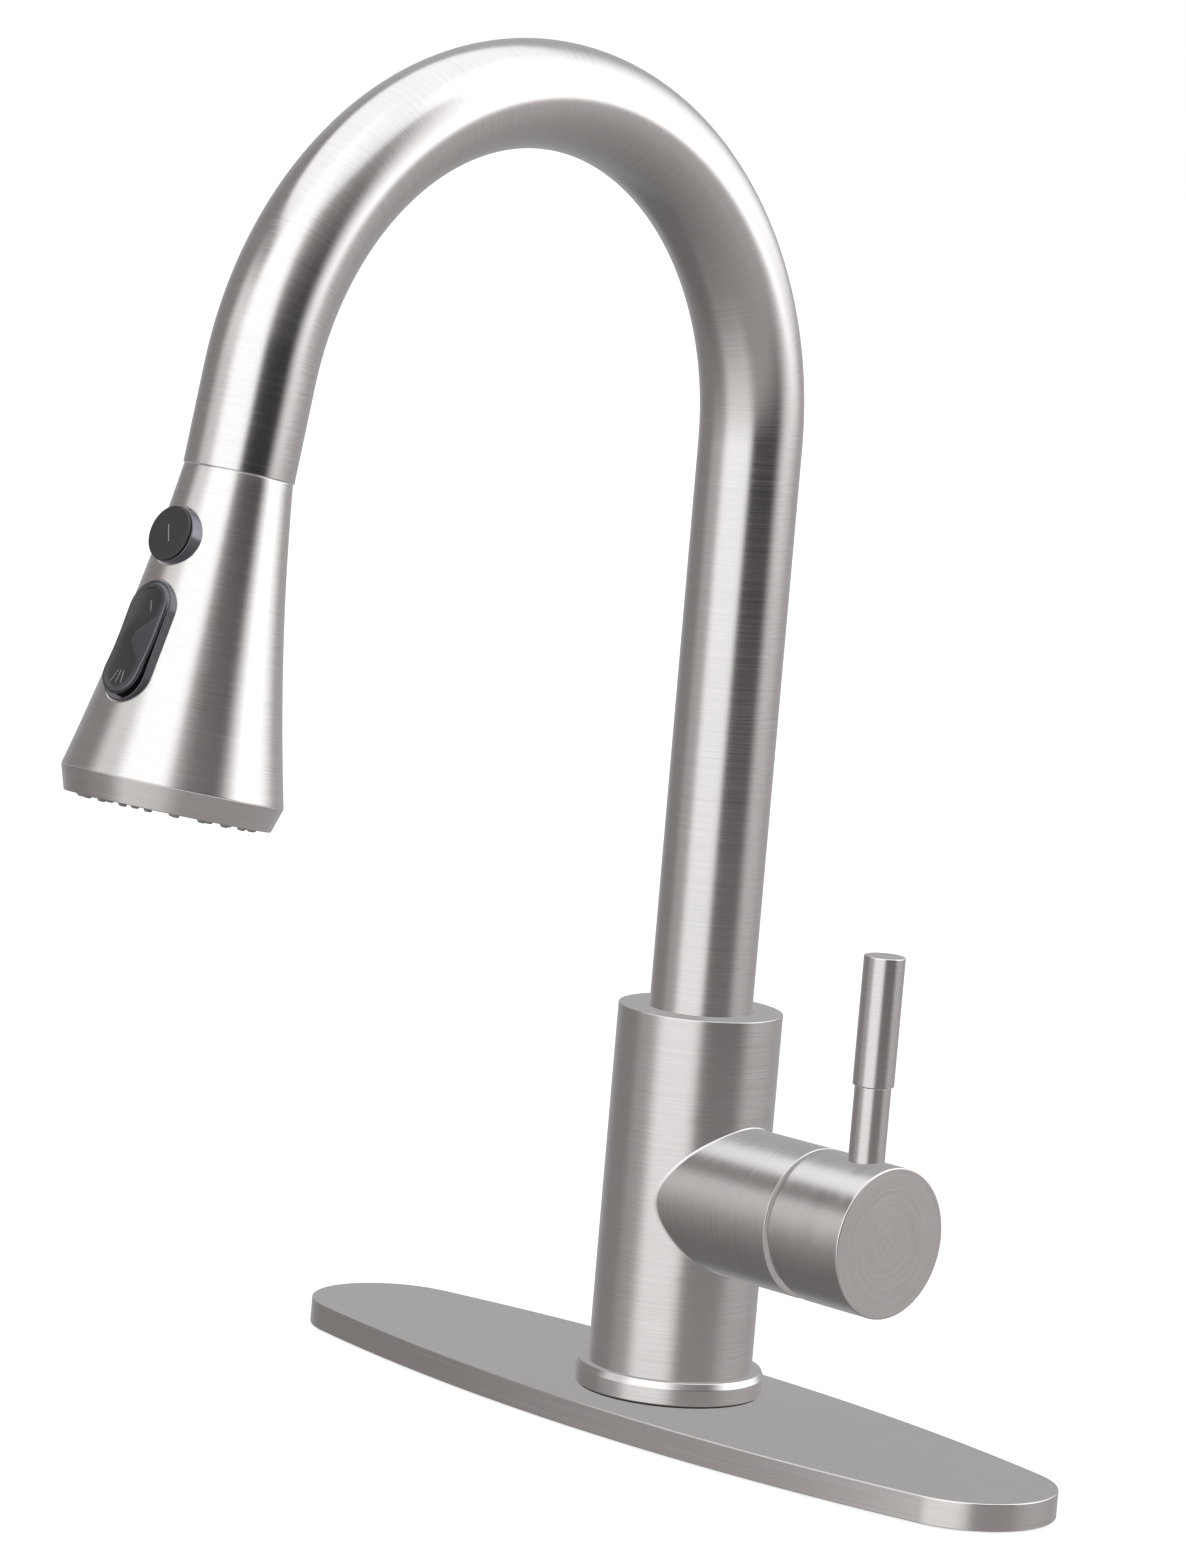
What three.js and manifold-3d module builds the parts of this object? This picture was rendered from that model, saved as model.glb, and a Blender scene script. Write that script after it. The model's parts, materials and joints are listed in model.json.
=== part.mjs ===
// A single-handle pull-down kitchen faucet on an oblong deck plate, as an assembly of separate solids.
// Millimetres, +Z up. The origin is the centre of the deck plate's underside, on the deck surface.
// The spout reaches along -Y, over the sink, and the handle sits on the +X side.
import * as THREE from "three";
import { mergeVertices } from "three/addons/utils/BufferGeometryUtils.js";
import Module from "manifold-3d";

const wasm = await Module();
wasm.setup();

// ---------------------------------------------------------------- driving dimensions
const DEG = Math.PI / 180;
const GAP = 0.3; // clearance between pieces that touch in the real assembly
const FINE = 32; // sides of the large round pieces
const COARSE = 18; // sides of the smaller and the hidden round pieces
const SMALL = 8; // sides of pins, screws and holes a few millimetres wide

// Deck plate
const PLATE_HALF_LENGTH = 134;
const PLATE_HALF_WIDTH = 36.3;
const PLATE_SIDE_RADIUS = 528;
const PLATE_TOP = 7.6;
const PLATE_WALL = 1.5;
const GASKET_TOP = 2.8;

// Base ring, body and the shank that passes through the deck
const RING_RADIUS = 25.8;
const RING_TOP = 14.5;
const BODY_RADIUS = 22.4;
const BODY_INNER = 20;
const BODY_BOTTOM = 10.8;
const BODY_TOP = 113;
const BODY_LIP = 3.6;
const SHANK_RADIUS = 16.5;
const SHANK_BORE = 14;
const SHANK_BOTTOM = -52;
const DECK_THICKNESS = 20; // the worktop that the faucet is clamped to

// Spout
const TUBE_RADIUS = 14;
const TUBE_BORE = 12.8;
const TUBE_BOTTOM = 85.5;
const STRAIGHT_TOP = 266.5; // where the gooseneck's bend begins
const ARCH_RADIUS = 89; // of the bend's centreline
const ARCH_SWEEP = 169.9 * DEG;
const TIP_LENGTH = 25.1; // straight tube after the bend
const HOSE_RADIUS = 6.2;
const HOSE_BORE = 4.2;
const HOSE_SPLIT = 96.8; // where the hose passes from the fixed body into the turning spout
const HOSE_END = -15.5; // where the hose ends, measured from the seam along the head

// Handle, with its axis along +X
const HANDLE_Z = 63.3;
const HORN_RADIUS = 20.4;
const HORN_BORE = 18.5;
const HORN_END = 49.4;
const CAP_START = 50.2;
const CAP_END = 75.9;
const CAP_RELIEF = 3.8; // how far the cap's lower rear rim is cut back, for its tilt
const TILT_PIVOT = 33; // X of the handle's tilt axis
const LEVER_X = 65;
const LEVER_THIN = 4.9;
const LEVER_THICK = 5.55;
const LEVER_STEP_Z = 103.7;
const LEVER_TOP_Z = 138.4;

// Spray head, measured along its own axis from the seam with the spout
const HEAD_TOP_RADIUS = 13.7;
const HEAD_WIDE_RADIUS = 28;
const HEAD_LENGTH = 78.8; // to the widest edge
const HEAD_SAG = 1.2; // how far the flare's outline bows inwards
const HEAD_WALL = 1.4;
const BEZEL_END = 85.1;
const BEZEL_END_RADIUS = 26.05;
const PAUSE_AT = 18.5;
const PAUSE_RADIUS = 7.2;
const PAUSE_PROUD = 2.2;
const PAUSE_TRAVEL = 1.6;
const PAUSE_FLANGE_RADIUS = 8; // of the flange that keeps the button in the head
const PAUSE_FLANGE_AT = -6; // its underside, from the head's surface
const ROCKER_AT = 45.5;
const ROCKER_RADIUS = 6.35;
const ROCKER_HALF_STRAIGHT = 8.4;
const ROCKER_PROUD = 1.7;
const ROCKER_TILT = 3.8 * DEG; // each way from level
const ROCKER_PIVOT_DEPTH = 3;
const NOZZLE_RINGS = [
  { count: 20, radius: 21.6 },
  { count: 10, radius: 15.6 },
];

// ---------------------------------------------------------------- finishes
const finish = (color, roughness, metalness) =>
  new THREE.MeshStandardMaterial({ color, roughness, metalness });
const STEEL = finish(0xb8b5b2, 0.34, 1);
const BRASS = finish(0xb59a5b, 0.4, 1);
const BLACK_PLASTIC = finish(0x3c3b40, 0.38, 0);
const WHITE_PLASTIC = finish(0xdcdcd6, 0.5, 0);
const CERAMIC = finish(0xf1efe8, 0.25, 0);
const RUBBER = finish(0x1d1d1f, 0.85, 0);
const SILICONE = finish(0x6e6e72, 0.6, 0);
const HOSE_NYLON = finish(0x74757a, 0.7, 0);

// ---------------------------------------------------------------- solids
// A three.js geometry as a closed solid, and back. Points that coincide are merged, so it has no seams.
function toSolid(geometry) {
  const bare = geometry.index ? geometry.toNonIndexed() : geometry.clone();
  bare.deleteAttribute("normal");
  bare.deleteAttribute("uv");
  const merged = mergeVertices(bare, 1e-4);
  const vertProperties = new Float32Array(merged.attributes.position.array);
  const triVerts = new Uint32Array(merged.index.array);
  return new wasm.Manifold(new wasm.Mesh({ numProp: 3, vertProperties, triVerts }));
}

function toGeometry(solid) {
  const { vertProperties, triVerts } = solid.getMesh();
  const geometry = new THREE.BufferGeometry();
  geometry.setAttribute("position", new THREE.BufferAttribute(vertProperties, 3));
  geometry.setIndex(new THREE.BufferAttribute(triVerts, 1));
  return geometry;
}

const join = (...pieces) => toGeometry(pieces.map(toSolid).reduce((a, b) => a.add(b)));
const cut = (whole, ...holes) =>
  toGeometry(holes.map(toSolid).reduce((a, b) => a.subtract(b), toSolid(whole)));
const common = (a, b) => toGeometry(toSolid(a).intersect(toSolid(b)));

// A body turned about Z from a closed outline of [radius, z] points, listed anticlockwise. The lathe turns
// about Y, and rotateX lays its axis along Z.
function turned(outline, sides = COARSE) {
  const closed = [...outline, outline[0]].map(([radius, z]) => new THREE.Vector2(radius, z));
  return new THREE.LatheGeometry(closed, sides).rotateX(Math.PI / 2);
}

const tube = (inner, outer, from, to, sides) =>
  turned([[inner, from], [outer, from], [outer, to], [inner, to]], sides);

function rod(radius, from, to, sides = COARSE) {
  return new THREE.CylinderGeometry(radius, radius, to - from, sides)
    .rotateX(Math.PI / 2)
    .translate(0, 0, (from + to) / 2);
}

// The same piece, turned so that its local Z lies along X, at a height.
const alongX = (piece, height) => piece.rotateY(Math.PI / 2).translate(0, 0, height);

function block([x0, x1], [y0, y1], [z0, z1]) {
  return new THREE.BoxGeometry(x1 - x0, y1 - y0, z1 - z0)
    .translate((x0 + x1) / 2, (y0 + y1) / 2, (z0 + z1) / 2);
}

// A flat shape given thickness along Z, with each of its arcs drawn in arcSteps chords.
function extruded(shape, from, to) {
  const arcSteps = 6;
  const options = { depth: to - from, bevelEnabled: false, curveSegments: arcSteps };
  return new THREE.ExtrudeGeometry(shape, options).translate(0, 0, from);
}

// A stadium lying along Y: two half rounds and a straight between them.
function stadium(radius, halfStraight) {
  const shape = new THREE.Shape();
  shape.absarc(0, halfStraight, radius, 0, Math.PI);
  shape.absarc(0, -halfStraight, radius, Math.PI, 2 * Math.PI);
  return shape;
}

// ---------------------------------------------------------------- scene graph
const faucet = new THREE.Group();

function frameGroup(parent, position = [0, 0, 0], rotation = [0, 0, 0]) {
  const group = new THREE.Group();
  group.position.set(...position);
  group.rotation.set(...rotation);
  parent.add(group);
  return group;
}

function add(parent, name, geometry, material) {
  const mesh = new THREE.Mesh(geometry, material);
  mesh.name = name;
  parent.add(mesh);
}

// ---------------------------------------------------------------- deck plate
// The plate's outline, drawn inwards by inset: two long shallow arcs and a round end that each runs into.
function plateOutline(inset = 0) {
  const side = PLATE_SIDE_RADIUS;
  const sideCentre = side - PLATE_HALF_WIDTH;
  const endRadius =
    (side ** 2 - PLATE_HALF_LENGTH ** 2 - sideCentre ** 2) / (2 * (side - PLATE_HALF_LENGTH));
  const endCentre = PLATE_HALF_LENGTH - endRadius;
  const meet = Math.atan2(sideCentre, endCentre);
  const shape = new THREE.Shape();
  shape.absarc(endCentre, 0, endRadius - inset, -meet, meet);
  shape.absarc(0, -sideCentre, side - inset, meet, Math.PI - meet);
  shape.absarc(-endCentre, 0, endRadius - inset, Math.PI - meet, Math.PI + meet);
  shape.absarc(0, sideCentre, side - inset, Math.PI + meet, 2 * Math.PI - meet);
  return shape;
}

function buildDeckPlate() {
  const hole = rod(SHANK_RADIUS + 0.7, -1, PLATE_TOP + 1);
  const underside = PLATE_TOP - PLATE_WALL;
  const hollow = extruded(plateOutline(PLATE_WALL), -1, underside);
  add(faucet, "deck_plate", cut(extruded(plateOutline(), GAP, PLATE_TOP), hollow, hole), STEEL);
  const inset = PLATE_WALL + GAP;
  const carrier = cut(extruded(plateOutline(inset), GASKET_TOP + GAP, underside - GAP), hole);
  add(faucet, "deck_plate_carrier", carrier, BLACK_PLASTIC);
  add(faucet, "deck_gasket", cut(extruded(plateOutline(inset), 0, GASKET_TOP), hole), RUBBER);
}

// ---------------------------------------------------------------- body
function buildBody() {
  const ringBottom = PLATE_TOP + 0.7;
  const flange = SHANK_RADIUS + 2;
  const seal = tube(flange + GAP, RING_RADIUS - 0.8, PLATE_TOP + 0.1, ringBottom - 0.1, FINE);
  add(faucet, "base_ring_seal", seal, RUBBER);
  const ring = turned([
    [flange + GAP, ringBottom],
    [RING_RADIUS, ringBottom],
    [RING_RADIUS, RING_TOP - 1.7],
    [RING_RADIUS - 0.8, RING_TOP],
    [BODY_RADIUS + GAP, RING_TOP],
    [BODY_RADIUS + GAP, BODY_BOTTOM - GAP],
    [flange + GAP, BODY_BOTTOM - GAP],
  ], FINE);
  add(faucet, "base_ring", ring, STEEL);

  const shell = turned([
    [BODY_INNER, BODY_BOTTOM],
    [BODY_RADIUS, BODY_BOTTOM],
    [BODY_RADIUS, BODY_TOP - 0.6],
    [BODY_RADIUS - 0.6, BODY_TOP],
    [TUBE_RADIUS + 0.4, BODY_TOP],
    [TUBE_RADIUS + 0.4, BODY_TOP - BODY_LIP],
    [BODY_INNER, BODY_TOP - BODY_LIP],
  ], FINE);
  const sidePort = alongX(rod(HORN_BORE + GAP, 0, 2 * BODY_RADIUS, FINE), HANDLE_Z);
  add(faucet, "body_shell", cut(shell, sidePort), STEEL);

  const shank = turned([
    [SHANK_BORE, SHANK_BOTTOM],
    [SHANK_RADIUS - 1, SHANK_BOTTOM],
    [SHANK_RADIUS, SHANK_BOTTOM + 1],
    [SHANK_RADIUS, PLATE_TOP + GAP],
    [flange, PLATE_TOP + GAP],
    [flange, RING_TOP - 1],
    [SHANK_BORE, RING_TOP - 1],
  ], COARSE);
  add(faucet, "mounting_shank", shank, BRASS);
}

// The spout turns in two plastic bushes, and a collar on its tail between them keeps it from lifting out.
function buildSpoutBearings() {
  const inner = TUBE_RADIUS + 0.4;
  const outer = BODY_INNER - 0.4;
  const lipUnderside = BODY_TOP - BODY_LIP;
  add(faucet, "upper_spout_bush", tube(inner, outer, 100, lipUnderside - GAP), BLACK_PLASTIC);
  add(faucet, "lower_spout_bush", tube(inner, outer, HANDLE_Z + HORN_RADIUS + 1, 91), BLACK_PLASTIC);
}

// ---------------------------------------------------------------- under the deck
function buildUnderDeck() {
  const worktop = -DECK_THICKNESS;
  const bore = SHANK_RADIUS + 0.4;
  add(faucet, "rubber_washer", tube(bore, 27, worktop - 3, worktop), RUBBER);
  add(faucet, "steel_washer", tube(bore, 26, worktop - 5.2, worktop - 3.2), STEEL);
  const nutTop = worktop - 5.5;
  const nutBottom = nutTop - 12;
  const screwCircle = 20.6;
  const hexNut = rod(27.5, nutBottom, nutTop, 6);
  const through = (radius, sides, x) => rod(radius, nutBottom - 1, nutTop + 1, sides).translate(x, 0, 0);
  const screwHoles = [screwCircle, -screwCircle].map((x) => through(2.8, SMALL, x));
  add(faucet, "mounting_nut", cut(hexNut, through(bore, COARSE, 0), ...screwHoles), BRASS);
  for (const [name, side] of [["right", 1], ["left", -1]]) {
    const head = rod(4, nutBottom - 5, nutBottom - 1, SMALL);
    const driveSocket = rod(1.8, nutBottom - 6, nutBottom - 2.5, 6);
    const screw = cut(join(rod(2.4, nutBottom - 2, nutTop, SMALL), head), driveSocket);
    add(faucet, `nut_screw_${name}`, screw.translate(side * screwCircle, 0, 0), STEEL);
  }
}

// ---------------------------------------------------------------- valve and cartridge
// Ports as [up, across] places on the cartridge's base: hot and cold in, mixed water out.
const PORTS = [[-6.5, 8.2], [-6.5, -8.2], [7.5, 0]];
const SEAT_X = 13.8;

const PORT_RADIUS = 2.4;

// The brass block behind the cartridge. The hoses' sockets come up from below and meet the cartridge's ports.
function buildValveBlock() {
  const bottom = HANDLE_Z - 24;
  const top = HANDLE_Z + 9;
  const socketRadius = 3.6;
  const socketX = 5;
  const core = common(rod(BODY_INNER - 0.6, bottom, top), block([1, SEAT_X], [-20, 20], [bottom, top]));
  const seat = alongX(rod(HORN_BORE - 0.7, 8, SEAT_X), HANDLE_Z);
  const sockets = PORTS.map(([up, across]) =>
    rod(socketRadius, bottom - 1, HANDLE_Z + up + 2, SMALL).translate(socketX, across, 0));
  const ports = PORTS.map(([up, across]) =>
    alongX(rod(PORT_RADIUS, socketX - 1, SEAT_X + 1, SMALL), HANDLE_Z + up).translate(0, across, 0));
  add(faucet, "valve_block", cut(join(core, seat), ...sockets, ...ports), BRASS);
}

// The handle's frame: local +Z is the handle's axis, world +X, and local -X is up.
const handleFrame = frameGroup(faucet, [0, 0, HANDLE_Z], [0, Math.PI / 2, 0]);
const STEM_RADIUS = 4.2;
const STEM_BALL_AT = TILT_PIVOT - 8.4;

// The discs and the housing around them. The moving disc slides up over the fixed one to let water through.
const CARTRIDGE_RADIUS = 17.6;
const CARTRIDGE_BORE = 14.9;
const DISC_START = SEAT_X + 4.8;
const DISC_END = DISC_START + 2.6;
const MOVING_DISC_END = 25.7;
const CARTRIDGE_TOP = 38.6;

function buildCartridge() {
  const portHoles = PORTS.map(([up, across]) =>
    rod(PORT_RADIUS, 0, DISC_END + 1, SMALL).translate(-up, across, 0));
  const base = rod(CARTRIDGE_RADIUS, SEAT_X + GAP, DISC_START - GAP);
  add(handleFrame, "cartridge_base", cut(base, ...portHoles), WHITE_PLASTIC);
  const fixedDisc = rod(CARTRIDGE_BORE - 0.5, DISC_START, DISC_END);
  add(handleFrame, "fixed_disc", cut(fixedDisc, ...portHoles), CERAMIC);
  const ballPocket = rod(2.7, DISC_END + 1, MOVING_DISC_END + 1, 16);
  const movingDisc = rod(11.2, DISC_END + GAP, MOVING_DISC_END);
  add(handleFrame, "moving_disc", cut(movingDisc, ballPocket), CERAMIC);

  const mouth = 8.8;
  const shoulder = CARTRIDGE_TOP - 2.6;
  const housing = turned([
    [CARTRIDGE_BORE, DISC_START],
    [CARTRIDGE_RADIUS, DISC_START],
    [CARTRIDGE_RADIUS, CARTRIDGE_TOP],
    [mouth, CARTRIDGE_TOP],
    [mouth, shoulder],
    [CARTRIDGE_BORE, shoulder],
  ]);
  add(handleFrame, "cartridge_housing", housing, WHITE_PLASTIC);
  add(handleFrame, "cartridge_nut", tube(12, HORN_BORE - GAP, CARTRIDGE_TOP + GAP, 43.7), BRASS);
}

// The carrier turns with the handle for temperature. The stem tilts in it on a pin for flow, and the ball on
// its end moves the disc.
function buildCartridgeStem() {
  const acrossStem = (radius, half) =>
    rod(radius, -half, half, SMALL).rotateX(Math.PI / 2).translate(0, 0, TILT_PIVOT);
  const pinHole = acrossStem(1.8, 20);
  const stemSlot = block([-5.8, 5.8], [-4.7, 4.7], [20, 40]);
  const carrier = rod(CARTRIDGE_BORE - 0.5, MOVING_DISC_END + GAP, CARTRIDGE_TOP - 2.9);
  add(handleFrame, "cartridge_carrier", cut(carrier, stemSlot, pinHole), BLACK_PLASTIC);
  add(handleFrame, "cartridge_pivot_pin", acrossStem(1.5, 13.6), STEEL);

  const leg = rod(1.9, STEM_BALL_AT, TILT_PIVOT, SMALL);
  const ball = new THREE.SphereGeometry(2.2, 12, 8).translate(0, 0, STEM_BALL_AT);
  const stem = cut(join(leg, ball, rod(STEM_RADIUS, TILT_PIVOT - 3.5, 69.5, 16)), pinHole);
  add(handleFrame, "cartridge_stem", stem, BRASS);
}

// A thin dome centred on the tilt axis closes the gap between the housing and the tilting cap.
function buildBonnet() {
  const dome = 24;
  const wall = 1.3;
  const skirt = HORN_BORE - GAP;
  const mouth = 11.6;
  const steps = 3;
  const arc = (radius, start) => {
    const from = Math.asin(start / radius);
    const to = Math.asin(mouth / radius);
    return Array.from({ length: steps + 1 }, (_, i) => {
      const angle = from + ((to - from) * i) / steps;
      return [radius * Math.sin(angle), TILT_PIVOT + radius * Math.cos(angle)];
    });
  };
  const outer = arc(dome, skirt);
  const inner = arc(dome - wall, skirt - wall).reverse();
  const outline = [[skirt - wall, 44], [skirt, 44], ...outer, ...inner];
  add(handleFrame, "cartridge_bonnet", turned(outline), STEEL);
}

// ---------------------------------------------------------------- handle
function buildHandleHousing() {
  const horn = alongX(tube(HORN_BORE, HORN_RADIUS, 0, HORN_END, FINE), HANDLE_Z);
  add(faucet, "handle_housing", cut(horn, rod(BODY_RADIUS + GAP, 0, BODY_TOP, FINE)), STEEL);
}

function buildHandle() {
  const hollow = 18.8;
  const outside = turned([
    [0, CAP_START],
    [HORN_RADIUS, CAP_START],
    [HORN_RADIUS, CAP_END - 0.4],
    [HORN_RADIUS - 0.4, CAP_END],
    [0, CAP_END],
  ], FINE);
  const relief = new THREE.Shape()
    .moveTo(0, CAP_START - 1)
    .lineTo(HORN_RADIUS + 1, CAP_START - 1)
    .lineTo(HORN_RADIUS + 1, CAP_START + CAP_RELIEF * (1 + 1 / HORN_RADIUS))
    .lineTo(0, CAP_START);
  const wedge = extruded(relief, -30, 30).rotateX(Math.PI / 2);
  const skirt = rod(hollow, 40, 60, FINE);
  const stemHole = rod(STEM_RADIUS + GAP, 50, 70, 16);
  const leverHole = alongX(rod(3.3, -30, -13, 16), LEVER_X);
  const screwHole = rod(2.7, 3, 30, SMALL).rotateX(-Math.PI / 2).translate(0, 0, LEVER_X - 1);
  add(handleFrame, "handle_cap", cut(outside, skirt, stemHole, wedge, leverHole, screwHole), STEEL);

  const socket = rod(1.3, HORN_RADIUS - 5, HORN_RADIUS, 6);
  const grubScrew = cut(rod(2.4, STEM_RADIUS + GAP, HORN_RADIUS - 1, SMALL), socket).rotateX(-Math.PI / 2);
  add(handleFrame, "handle_set_screw", grubScrew.translate(0, 0, LEVER_X - 1), STEEL);
}

// The lever stands on the cap: a thin stem with a saddle foot, and a thicker grip screwed on top of it.
function buildLever() {
  const lever = frameGroup(faucet, [LEVER_X, 0, 0]);
  const foot = HANDLE_Z + HORN_RADIUS;
  const capSurface = alongX(rod(HORN_RADIUS + 0.2, -20, 20, FINE), HANDLE_Z);
  const shaft = cut(rod(LEVER_THIN, foot - 3, LEVER_STEP_Z - 0.15, COARSE), capSurface);
  const stud = rod(3, foot - 6, LEVER_STEP_Z + 12, SMALL);
  add(lever, "lever_stem", join(shaft, stud), STEEL);
  const bottom = LEVER_STEP_Z + 0.15;
  const grip = turned([
    [3.4, bottom],
    [LEVER_THICK, bottom],
    [LEVER_THICK, LEVER_TOP_Z - 0.3],
    [LEVER_THICK - 0.3, LEVER_TOP_Z],
    [0, LEVER_TOP_Z],
    [0, LEVER_STEP_Z + 12.5],
    [3.4, LEVER_STEP_Z + 12.5],
  ]);
  add(lever, "lever_grip", grip, STEEL);
}

// ---------------------------------------------------------------- spout
// The gooseneck's centreline: a riser, a bend over to -Y, and a short straight tip. It is drawn in equal
// steps of its parameter: one along the riser, bendSteps round the bend and one along the tip.
class Gooseneck extends THREE.Curve {
  constructor(start, tipLength, bendSteps) {
    super();
    this.riser = STRAIGHT_TOP - start;
    this.tipLength = tipLength;
    this.bendSteps = bendSteps;
    this.steps = bendSteps + 2;
  }

  bendAngle(t) {
    return THREE.MathUtils.clamp((t * this.steps - 1) / this.bendSteps, 0, 1) * ARCH_SWEEP;
  }

  getPoint(t, target = new THREE.Vector3()) {
    const angle = this.bendAngle(t);
    const riserLeft = Math.max(1 - t * this.steps, 0) * this.riser;
    const tip = Math.max(t * this.steps - this.bendSteps - 1, 0) * this.tipLength;
    return target.set(
      0,
      ARCH_RADIUS * (Math.cos(angle) - 1) - tip * Math.sin(angle),
      STRAIGHT_TOP - riserLeft + ARCH_RADIUS * Math.sin(angle) + tip * Math.cos(angle),
    );
  }

  getTangent(t, target = new THREE.Vector3()) {
    const angle = this.bendAngle(t);
    return target.set(0, -Math.sin(angle), Math.cos(angle));
  }

  getUtoTmapping(u) {
    return u;
  }
}

function pipeAlong(curve, outer, inner, sides) {
  const section = new THREE.Shape().absarc(0, 0, outer, 0, 2 * Math.PI);
  section.holes.push(new THREE.Path().absarc(0, 0, inner, 0, 2 * Math.PI, true));
  const curveSegments = sides / 2; // a full circle is drawn with twice as many
  const options = { extrudePath: curve, steps: curve.steps, curveSegments, bevelEnabled: false };
  return new THREE.ExtrudeGeometry(section, options);
}

function buildSpout() {
  const centreline = new Gooseneck(TUBE_BOTTOM, TIP_LENGTH - GAP, 18);
  add(faucet, "spout_tube", pipeAlong(centreline, TUBE_RADIUS, TUBE_BORE, 24), STEEL);
  add(faucet, "spout_tail_collar", tube(TUBE_RADIUS + GAP, 17.6, 92, 99), BRASS);
  const guide = tube(HOSE_RADIUS + 0.9, TUBE_BORE - GAP, HOSE_SPLIT, HOSE_SPLIT + 6);
  add(faucet, "hose_guide", guide, BLACK_PLASTIC);
}

// ---------------------------------------------------------------- pull-out hose
// One hose in two stretches: the upper one turns with the spout, and the lower one passes the valve block
// on its -X side and leaves through the shank.
function buildHose() {
  const upper = new Gooseneck(HOSE_SPLIT + 0.4, TIP_LENGTH + HOSE_END, 10);
  add(faucet, "pull_out_hose", pipeAlong(upper, HOSE_RADIUS, HOSE_BORE, 10), HOSE_NYLON);

  const route = [
    [-6.5, SHANK_BOTTOM + 1],
    [-7, -5],
    [-7.2, 14],
    [-10.5, 36],
    [-11, 54],
    [-7.4, 74],
    [-0.8, 90],
    [0, HOSE_SPLIT - 0.6],
  ];
  const lower = new THREE.CatmullRomCurve3(route.map(([x, z]) => new THREE.Vector3(x, 0, z)));
  lower.steps = 11;
  add(faucet, "hose_lower_run", pipeAlong(lower, HOSE_RADIUS, HOSE_BORE, 10), HOSE_NYLON);
}

// ---------------------------------------------------------------- spray head
// The head's frame: origin at the seam, local +Z down the head's axis, local +Y its front with the buttons.
const seam = new Gooseneck(TUBE_BOTTOM, TIP_LENGTH, 1).getPoint(1);
const headFrame = frameGroup(faucet, seam.toArray(), [ARCH_SWEEP, 0, 0]);

// The flare's outer radius: a straight cone, bowed inwards.
function flareRadius(along) {
  const t = along / HEAD_LENGTH;
  return THREE.MathUtils.lerp(HEAD_TOP_RADIUS, HEAD_WIDE_RADIUS, t) - 4 * HEAD_SAG * t * (1 - t);
}

function flareSlope(along) {
  const t = along / HEAD_LENGTH;
  return Math.atan((HEAD_WIDE_RADIUS - HEAD_TOP_RADIUS - 4 * HEAD_SAG * (1 - 2 * t)) / HEAD_LENGTH);
}

// A control's frame on the flare: origin on the surface, local +Z outwards and local +Y up the head.
const controlTurn = (along) => -(Math.PI / 2 + flareSlope(along));

function controlFrame(along) {
  return frameGroup(headFrame, [0, flareRadius(along), along], [controlTurn(along), 0, 0]);
}

// A piece drawn in a control's frame, moved into the head's frame.
function inHeadFrame(piece, along) {
  return piece.rotateX(controlTurn(along)).translate(0, flareRadius(along), along);
}

const pauseFrame = controlFrame(PAUSE_AT);
const rockerFrame = controlFrame(ROCKER_AT);
const FRAME_RADIUS = ROCKER_RADIUS + 0.95;

function buildHeadShell() {
  const steps = 5;
  const ends = [GAP, HEAD_LENGTH - 0.2];
  const levels = Array.from({ length: steps + 1 }, (_, i) => THREE.MathUtils.lerp(...ends, i / steps));
  const outside = levels.map((z) => [flareRadius(z), z]);
  const inside = levels.map((z) => [flareRadius(z) - HEAD_WALL, z]).reverse();
  const pauseHole = inHeadFrame(rod(PAUSE_RADIUS + GAP, -9, 9), PAUSE_AT);
  const frameOutline = stadium(FRAME_RADIUS + GAP, ROCKER_HALF_STRAIGHT);
  const rockerHole = inHeadFrame(extruded(frameOutline, -9, 9), ROCKER_AT);
  const flare = turned([...outside, ...inside], FINE);
  add(headFrame, "spray_head_shell", cut(flare, pauseHole, rockerHole), STEEL);
}

// The rocker's tail reaches in from its pivot to the diverter spool, and moves it along the head.
const SPOOL_RADIUS = 2.1;
const TAIL_REACH = 9.6; // from the pivot to the spool's axis
const TAIL_TIP_GAP = 1.7; // between the tail's tip and the spool's axis
const TAIL_ANGLE = flareSlope(ROCKER_AT) + ROCKER_TILT;
const PIVOT_Y = flareRadius(ROCKER_AT) - ROCKER_PIVOT_DEPTH * Math.cos(flareSlope(ROCKER_AT));
const PIVOT_ALONG = ROCKER_AT + ROCKER_PIVOT_DEPTH * Math.sin(flareSlope(ROCKER_AT));
const SPOOL_Y = PIVOT_Y - TAIL_REACH * Math.cos(TAIL_ANGLE);
const SPOOL_GROOVE = PIVOT_ALONG + (TAIL_REACH - TAIL_TIP_GAP) * Math.sin(TAIL_ANGLE);
const SPOOL_HALF_LENGTH = 7.5;

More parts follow.
